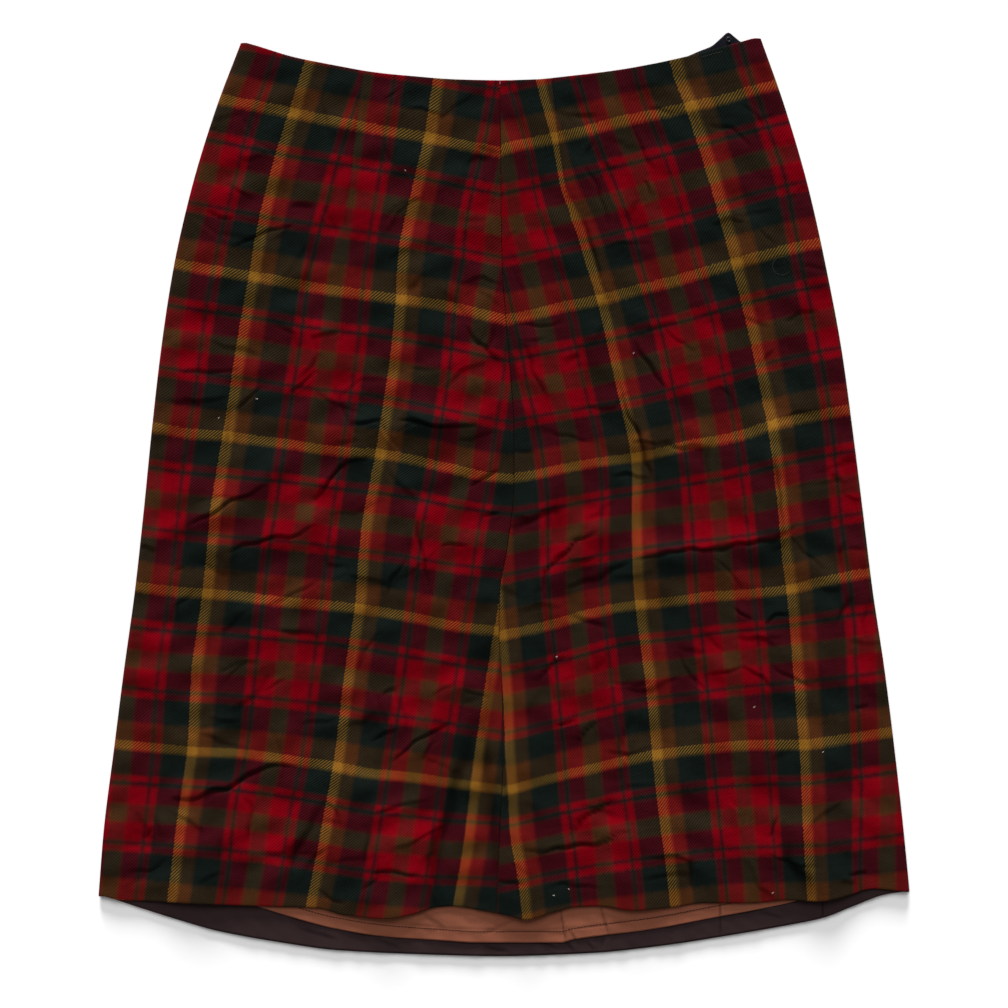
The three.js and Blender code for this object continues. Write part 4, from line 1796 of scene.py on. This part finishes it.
RIGHT_GORE = FrontGore(
    name="right_gore",
    node="front_right",
    side=Side.RIGHT,
    across_grain=Grain((
        (0, ((-1, -96), (2, -125), (4, -150), (5, -186), (7, -209), (9, -248), (14, -271), (17, -298))),
        (1, ((27, 306), (35, 275), (39, 262), (42, 244), (45, 226), (54, 204), (60, 184), (72, 146),
             (82, 100), (90, 64), (97, 32), (97, -7), (98, -52), (100, -76), (108, -136), (112, -183),
             (118, -237), (125, -291))),
        (2, ((126, 319), (137, 287), (143, 268), (152, 240), (163, 200), (170, 174), (180, 133),
             (189, 91), (196, 55), (202, 7), (206, -36), (210, -64), (214, -113), (219, -177),
             (221, -229), (224, -284))),
        (0.563, ((4, 244), (9, 207), (20, 166), (25, 144), (31, 122), (37, 86), (47, 51), (49, 33),
             (53, 0), (52, -29), (52, -71), (56, -102), (60, -149), (65, -183), (66, -211), (72, -244),
             (75, -288))),
        (1.563, ((75, 309), (82, 282), (90, 262), (98, 244), (105, 224), (111, 207), (116, 184),
             (123, 160), (128, 146), (135, 122), (143, 79), (149, 53), (152, 28), (157, -7),
             (160, -40), (162, -76), (165, -96), (167, -116), (171, -165), (175, -211), (177, -233),
             (181, -284))),
        (2.376, ((177, 319), (181, 306), (195, 266), (205, 237), (216, 178), (223, 146), (229, 116),
             (237, 73), (242, 28), (245, -4), (256, -91), (258, -146), (261, -211), (260, -277))),
    )),
    down_grain=Grain((
        (0, ((-1, 255), (12, 259), (39, 264), (71, 272), (85, 276), (116, 282), (137, 287), (162, 292),
             (180, 298), (196, 302))),
        (1, ((-1, 131), (21, 135), (43, 141), (72, 146), (96, 153), (123, 159), (143, 165), (170, 173),
             (194, 179), (216, 185), (231, 187))),
        (2, ((1, 16), (16, 17), (34, 21), (58, 26), (79, 29), (97, 31), (116, 35), (136, 41),
             (154, 43), (173, 47), (196, 55), (220, 60), (240, 64), (253, 66))),
        (3, ((1, -98), (16, -95), (38, -90), (58, -84), (79, -79), (100, -76), (125, -74), (147, -70),
             (170, -69), (191, -67), (210, -65), (232, -59), (253, -55), (267, -53))),
        (4, ((7, -210), (25, -205), (49, -199), (71, -194), (92, -189), (112, -185), (136, -182),
             (158, -180), (180, -178), (202, -178), (219, -178), (243, -175), (267, -171))),
        (0.444, ((40, 207), (140, 233), (170, 243), (189, 248))),
        (1.444, ((71, 91), (163, 115), (209, 127))),
        (2.444, ((12, -31), (116, -12), (125, -11), (158, -7), (189, -1), (223, 7), (232, 8))),
        (3.444, ((25, -143), (60, -135), (92, -125), (122, -123), (167, -116), (202, -112), (240, -108))),
        (4.444, ((1, -258), (32, -251), (72, -244), (107, -238), (141, -234), (177, -230), (209, -229),
             (243, -226), (271, -223))),
        (4.845, ((162, -280), (234, -278))),
    )),
    dart=Dart(Curve(((-300, 134), (189, 52), (221, 46), (255, 41), (307, 35))), 0.10, 189, 307),
    creases=(
        Crease(((95, 117), (102, 102), (111, 89), (119, 81)), 0.96, 1, 1.6),
        Crease(((85, 81), (92, 65), (100, 46), (102, 35), (106, 15)), 1.2, 1.4, 1.3, 8),
        Crease(((147, 37), (149, 24), (150, 12)), 0.64, 0.54, 3),
        Crease(((197, 35), (200, 12), (202, -14), (204, -25)), 1.2, -1.4, 1.3, 8),
        Crease(((96, -43), (121, -39), (148, -36), (176, -32), (197, -28), (213, -19)), 1.2, 1.5, 1.3, 9),
        Crease(((26, -67), (30, -56), (39, -45), (52, -30), (72, -22)), 1.1, 1.2, 1.3),
        Crease(((46, -64), (68, -58), (91, -45)), 0.96, 1.1, 1.6, 9),
        Crease(((-9, -17), (9, -19), (28, -12), (46, -4)), 0.88, 1, 2.6, 8),
        Crease(((2, 37), (24, 35)), 0.48, 0.41),
        Crease(((191, -90), (199, -85), (210, -83)), 0.96, 0.75, 1),
        Crease(((167, -77), (176, -83), (180, -86)), 0.88, 0.68, 1),
        Crease(((24, -134), (31, -125), (46, -113)), 0.88, 0.82),
        Crease(((41, -164), (52, -160)), 0.72, 0.54),
        Crease(((54, -180), (59, -167), (68, -160)), 0.96, 0.82),
        Crease(((83, -191), (85, -177), (95, -158)), 0.8, 0.82, 1.9),
        Crease(((50, -245), (59, -234), (72, -221), (83, -216)), 1, 1),
        Crease(((15, -255), (43, -253), (65, -249), (93, -242)), 1, 1.1, 1.4, 8),
        Crease(((-10, -275), (15, -278)), 0.8, 0.61),
        Crease(((194, -245), (200, -229)), 0.88, 0.54, 0.96),
        Crease(((204, -249), (210, -266), (221, -277), (225, -290)), 1.2, 1.1, 4.5, 11),
        Crease(((138, -262), (137, -284)), 0.8, 0.61, 1.8),
        Crease(((256, -152), (267, -149)), 0.72, 0.48),
        Crease(((250, -272), (265, -273)), 0.72, 0.48),
        Crease(((93, -135), (106, -130)), 0.72, 0.61),
        Crease(((148, -127), (176, -123)), 0.56, 0.54),
        Crease(((102, 232), (108, 222)), 0.72, 0.54, 0.96),
        Crease(((57, 205), (66, 176), (74, 150)), 0.88, 1, 1.4),
        Crease(((60, 244), (75, 214), (80, 196)), 0.72, -0.82, 1.9, 9),
        Crease(((16, 112), (24, 92), (33, 72)), 0.8, 0.82, 1.3),
        Crease(((7, 104), (12, 88)), 0.64, 0.54),
        Crease(((205, 131), (228, 137)), 0.48, 0.48),
    ),
    seed=73,
    flat=(0.31, 0.66),
    area=0.158,
)


HEM_FACING = Strip(
    name="hem_facing_strip", node="hem_facing", slot="hem_facing", first=-289.8, last=289.8,
    base=FACING_BASE, wall=0.8, seed=11, columns=420, rows=46, wave=Ripple(0.2, 9.0, 34.0),
    creases=(
        Crease(((-17, -323), (-8, -327), (5, -329)), 0.5, 0.8, 1.2, 4.0),
        Crease(((20, -322), (33, -324), (42, -328)), 0.5, 0.8, 1.2, 4.0),
        Crease(((44, -320), (52, -329)), 0.4, 0.6, 1.0, 3.5),
        Crease(((60, -320), (66, -328)), 0.35, 0.5, 1.0, 3.5),
        Crease(((74, -318), (71, -328)), 0.35, 0.5, 1.0, 3.5),
        Crease(((-150, -312), (-120, -321)), 0.3, 0.6, 1.6, 6.0),
        Crease(((-96, -319), (-74, -327)), 0.3, 0.5, 1.4, 5.0),
        Crease(((186, -300), (205, -305)), 0.3, 0.5, 1.4, 5.0),
        Crease(((233, -290), (233, -308)), 0.6, 0.5, 0.8, 3.0),
        Crease(((158, -292), (158, -324)), 0.6, 0.5, 0.8, 3.0),
    ),
)
LINING = Strip(
    name="lining_strip", node="lining", slot="lining", first=-246.0, last=258.0,
    base=LINING_BASE, wall=0.6, seed=17, columns=420, rows=60, wave=Ripple(0.22, 9.0, 34.0),
    creases=(
        Crease(((41, -292), (42, -300), (46, -323)), 0.6, 0.6, 0.8, 4.0),
        Crease(((48, -312), (54, -323)), 0.4, 0.6, 1.0, 4.0),
        Crease(((70, -290), (72, -300), (78, -320)), 0.4, 0.5, 1.2, 5.0),
        Crease(((158, -288), (158, -308)), 0.6, 0.5, 0.8, 3.0),
        Crease(((-60, -300), (-42, -314)), 0.3, 0.6, 2.0, 7.0),
        Crease(((8, -306), (-14, -316)), 0.3, 0.5, 2.0, 7.0),
        Crease(((-154, -295), (-100, -306), (-40, -312), (20, -314), (60, -311), (120, -303), (182, -291)),
               0.25, 0.2, 0.9, 4.0),
    ),
)
WAIST_FACING = Strip(
    name="waist_facing_strip", node="waist_facing", slot="waist_facing", first=104.0, last=183.0,
    base=FACING_BASE, wall=0.8, seed=23, columns=120, rows=40, creases=(),
)


@dataclass(frozen=True)
class Stitches:
    """A row of short stitches along a path, made as one piece.

    Attributes:
        slot: The name of a material slot, which is not used.
        path: The row's points in millimetres, level included.
        pitch: The distance from one stitch to the next.
        length: A stitch's length.
        thread: The thread's radius.
        look_ahead: How far ahead the row's heading is taken.
        waver: How far the stitches stray.
    """

    name: str
    slot: str
    path: tuple[tuple[float, float, float], ...]
    pitch: float
    length: float
    thread: float
    look_ahead: float = 0.5
    waver: float = 0.06

    def build(self, finish: Material) -> Object:
        """Build and dress the row.

        Args:
            finish: The thread.

        Returns:
            The row.
        """
        points = np.array(self.path)
        marks = np.concatenate([[0.0], np.cumsum(np.linalg.norm(np.diff(points, axis=0), axis=1))])
        half = self.length * MM / 2.0
        shape = Matrix.Diagonal((half, self.thread * MM, self.thread * MM, 1.0))
        row = bmesh.new()
        rng = np.random.default_rng(len(self.name))
        for centre in np.arange(self.pitch, marks[-1], self.pitch):
            here = np.array([np.interp(centre, marks, part) for part in points.T])
            ahead = np.array([np.interp(centre + self.look_ahead, marks, part) for part in points.T])
            heading = Vector(ahead - here).to_track_quat("X", "Z").to_matrix().to_4x4()
            waver = Vector(rng.normal(0.0, self.waver, 3)) * MM
            place = Matrix.Translation(Vector(here) * MM + waver) @ heading
            bmesh.ops.create_uvsphere(row, u_segments=6, v_segments=5, radius=1.0, matrix=place @ shape)
        piece = finish_piece(mesh_of(row, self.name), self.name, finish)
        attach(piece, "root")
        return piece


def run_on(x: Array, y: Array, top: Any, above: float) -> tuple:
    """Lay a path on a piece's outer face, a little above it."""
    level = top(x, y)[0] + above
    return tuple((float(px), float(py), float(pz)) for px, py, pz in zip(x, y, level))


def lining_hem_row() -> Stitches:
    """Lay the stitches that hold the lining's hem.

    Returns:
        The row.
    """
    run = np.linspace(-150.0, 178.0, 120)
    path = run_on(run, LINING_HEM.at(run) + 8.2, LINING.top, 0.14)
    return Stitches("lining_hem_stitches", "lining", path, pitch=2.3, length=2.2, thread=0.3)


def waist_edge_row() -> Stitches:
    """Lay the few stitches that show at the waist opening.

    Returns:
        The row.
    """
    run = np.linspace(143.0, 166.0, 30)
    path = run_on(run, FRONT_WAIST.at(run) - 3.4, RIGHT_GORE.top, 0.1)
    return Stitches("waist_edge_stitches", "tartan", path, pitch=1.5, length=0.9, thread=0.16)


def hair_loop() -> Stitches:
    """Lay the loose hair in an open loop of many short lengths.

    Returns:
        The hair.
    """
    angle = np.linspace(0.6, 5.6, 48)
    radius = 6.6
    x = 203.0 + radius * np.cos(angle)
    y = 170.5 + radius * np.sin(angle)
    return Stitches("loose_hair", "tartan", run_on(x, y, RIGHT_GORE.top, 0.16), 0.8, 1.1, 0.1)


@dataclass(frozen=True)
class Lint:
    """A few specks of fluff on one half of the front, each a pair of tiny fibres.

    Attributes:
        gore: The half that they lie on.
        spots: Where they lie, in millimetres.
        spread: How far a speck's fibres stray from its spot.
        above: How far they lie above the face.
        fibre: A fibre's least and most half length.
        half_width: Half a fibre's width.
        half_height: Half a fibre's height.
    """

    gore: FrontGore
    name: str
    spots: tuple[Spot, ...]
    spread: float = 0.35
    above: float = 0.22
    fibre: Pair = (0.5, 0.9)
    half_width: float = 0.2
    half_height: float = 0.16

    def build(self, finish: Material) -> Object:
        """Build and dress the specks.

        Args:
            finish: The fluff.

        Returns:
            The specks.
        """
        spots = np.array(self.spots, dtype=float)
        level = self.gore.top(spots[:, 0], spots[:, 1])[0]
        rng = np.random.default_rng(5)
        fluff = bmesh.new()
        for (x, y), z in zip(spots, level):
            for _ in range(2):
                aside = rng.normal(0.0, self.spread, 2)
                spot = Vector((x + aside[0], y + aside[1], z + self.above)) * MM
                turned = Matrix.Translation(spot) @ Matrix.Rotation(rng.uniform(0.0, math.pi), 4, "Z")
                sizes = (rng.uniform(*self.fibre) * MM, self.half_width * MM, self.half_height * MM, 1.0)
                bmesh.ops.create_uvsphere(
                    fluff, u_segments=8, v_segments=6, radius=1.0, matrix=turned @ Matrix.Diagonal(sizes),
                )
        piece = finish_piece(mesh_of(fluff, self.name), self.name, finish)
        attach(piece, "root")
        return piece


RIGHT_LINT = Lint(RIGHT_GORE, "lint_right", (
    (95, 107), (37, -288), (48, -283), (183, -151), (233, -183), (196, -286), (39, -114),
))
LEFT_LINT = Lint(LEFT_GORE, "lint_left", ((-207, 60), (-179, 73), (-71, 240)))


@dataclass(frozen=True)
class WireEye:
    """A small wire eye on the corner of the waist facing.

    Attributes:
        centre: Its place, in millimetres.
        ring: The ring's radius.
        wire: The wire's radius.
    """

    centre: tuple[float, float, float] = (164.4, 335.7, 3.6)
    ring: float = 1.5
    wire: float = 0.4
    ring_steps: int = 40
    wire_steps: int = 14

    def build(self, finish: Material) -> Object:
        """Build and dress the eye.

        Args:
            finish: The wire's plating.

        Returns:
            The eye.
        """
        eye = bmesh.new()
        upright = Matrix.Translation((self.ring * MM, 0.0, 0.0)) @ Matrix.Rotation(math.pi / 2.0, 4, "X")
        bmesh.ops.create_circle(eye, segments=self.wire_steps, radius=self.wire * MM, matrix=upright)
        bmesh.ops.spin(
            eye, geom=eye.verts[:] + eye.edges[:], cent=(0.0, 0.0, 0.0), axis=(0.0, 0.0, 1.0),
            angle=TURN, steps=self.ring_steps, use_merge=True,
        )
        bmesh.ops.remove_doubles(eye, verts=eye.verts[:], dist=1e-7)
        bmesh.ops.recalc_face_normals(eye, faces=eye.faces[:])
        bmesh.ops.translate(eye, verts=eye.verts[:], vec=Vector(self.centre) * MM)
        piece = finish_piece(mesh_of(eye, "wire_eye"), "wire_eye", finish)
        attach(piece, "root")
        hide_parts("waist_eye")
        return piece


@dataclass(frozen=True)
class Sun:
    """A soft light from one side.

    Attributes:
        origin: The way that it comes from.
        spread: How soft it is, in degrees.
    """

    name: str
    origin: tuple[float, float, float]
    spread: float
    strength: float

    def build(self) -> None:
        """Light the scene."""
        lamp = bpy.data.lights.new(self.name, "SUN")
        lamp.angle = math.radians(self.spread)
        lamp.energy = self.strength
        light = bpy.data.objects.new(self.name, lamp)
        light.location = self.origin
        light.rotation_euler = (-Vector(self.origin)).to_track_quat("-Z", "Y").to_euler()
        bpy.context.scene.collection.objects.link(light)


@dataclass(frozen=True)
class Studio:
    """The pale floor, the soft lights and the camera overhead.

    Attributes:
        camera_at: The camera's place, in metres.
        lens: Its focal length, in millimetres.
        sensor: Its sensor's width.
        raking: The light that rakes over the creases.
        key: The light from above.
        fill: The strength of the light from all round.
        floor_reach: How far the floor reaches, in metres.
    """

    camera_at: tuple[float, float, float] = (0.0007, -0.0029, 1.738)
    lens: float = 85.0
    sensor: float = 36.0
    raking: Sun = Sun("raking light", (-0.06, 1.0, 0.225), 18.0, 6.4)
    key: Sun = Sun("key light", (-0.12, 0.8, 0.9), 36.0, 1.7)
    fill: float = 0.28
    floor_reach: float = 4.0

    def build(self) -> None:
        """Set up the floor, the lights and the camera."""
        ground = bmesh.new()
        bmesh.ops.create_grid(ground, x_segments=2, y_segments=2, size=self.floor_reach)
        floor = finish_piece(mesh_of(ground, "floor"), "floor", PaperFloor().make("pale paper"))
        scene = bpy.context.scene
        world = bpy.data.worlds.new("room")
        world.use_nodes = True
        glow = world.node_tree.nodes["Background"]
        glow.inputs["Color"].default_value = (1.0, 1.0, 1.0, 1.0)
        glow.inputs["Strength"].default_value = self.fill
        scene.world = world
        self.raking.build()
        self.key.build()
        eye = bpy.data.cameras.new("overhead")
        eye.lens = self.lens
        eye.sensor_width = self.sensor
        camera = bpy.data.objects.new("overhead", eye)
        camera.location = self.camera_at
        scene.collection.objects.link(camera)
        scene.camera = camera
        scene.view_settings.view_transform = "Standard"


# The hem facing's depth, how far it stays above the back's hem, and how it narrows towards both ends.
FACING_DEPTH = 62.0
FACING_INSET = 0.6
FACING_NARROWS = (-8.0, 20.0)

# How far the waist facing reaches below the front's waist.
WAIST_FACING_DEPTH = 32.0


def build_strips(facing: Any, rust: Any, black: Any) -> tuple[Object, ...]:
    """Build the strips of facing and lining.

    Args:
        facing: The hem facing's cloth.
        rust: The lining's cloth.
        black: The waist facing's cloth.

    Returns:
        The hem facing, the lining and the waist facing.
    """
    run = HEM_FACING.stations()
    lower = BACK_HEM.at(run) + FACING_INSET
    upper = lower + FACING_DEPTH * smoothstep(HEM_FACING.last - np.abs(run), *FACING_NARROWS)
    hem = HEM_FACING.build(upper, lower, facing)
    run = LINING.stations()
    lining = LINING.build(np.full(run.shape, LINING_TOP), LINING_HEM.at(run), rust)
    run = WAIST_FACING.stations()
    upper = FRONT_WAIST.at(run) - WAIST_FACING_DEPTH
    waist = WAIST_FACING.build(upper, BACK_WAIST.at(run) - FACING_INSET, black)
    return hem, lining, waist


def main() -> None:
    """Build the skirt piece by piece, and the studio around it."""
    logging.basicConfig(level=logging.INFO, format="%(message)s")
    wool = TartanWool().make("tartan wool")
    facing = PlainCloth((48, 35, 36), 0.6, 0.03, 0.0008, 0.12).make("hem facing satin")
    rust = PlainCloth((127, 75, 56), 0.55, 0.04, 0.0006, 0.06).make("rust lining")
    black = PlainCloth((17, 18, 25), 0.6, 0.03, 0.0008, 0.1).make("waist facing cloth")
    dark_thread = PlainCloth((34, 16, 15), 0.8, 0.02, 0.0003, 0.1).make("lining thread")
    grey_thread = PlainCloth((92, 78, 70), 0.7, 0.1, 0.0003, 0.1).make("edge thread")
    hair = PlainCloth((66, 66, 48), 0.6, 0.1, 0.0003, 0.1).make("loose hair")
    fluff = PlainCloth((176, 160, 150), 0.9, 0.1, 0.0003, 0.1).make("lint")
    steel = PlatedWire().make("plated wire")

    back = BackPanel().build(wool)
    left = LEFT_GORE.build(wool)
    right = RIGHT_GORE.build(wool)
    hem, lining, waist = build_strips(facing, rust, black)
    eye = WireEye().build(steel)
    hem_stitches = lining_hem_row().build(dark_thread)
    edge_stitches = waist_edge_row().build(grey_thread)
    loose_hair = hair_loop().build(hair)
    lint = RIGHT_LINT.build(fluff)
    left_lint = LEFT_LINT.build(fluff)

    small = (hem_stitches, edge_stitches, loose_hair, lint, left_lint)
    for piece in (back, left, right, hem, lining, waist, eye, *small):
        LOG.info("%s: %d faces", piece.name, len(piece.data.polygons))
    Studio().build()


if __name__ == "__main__":
    main()
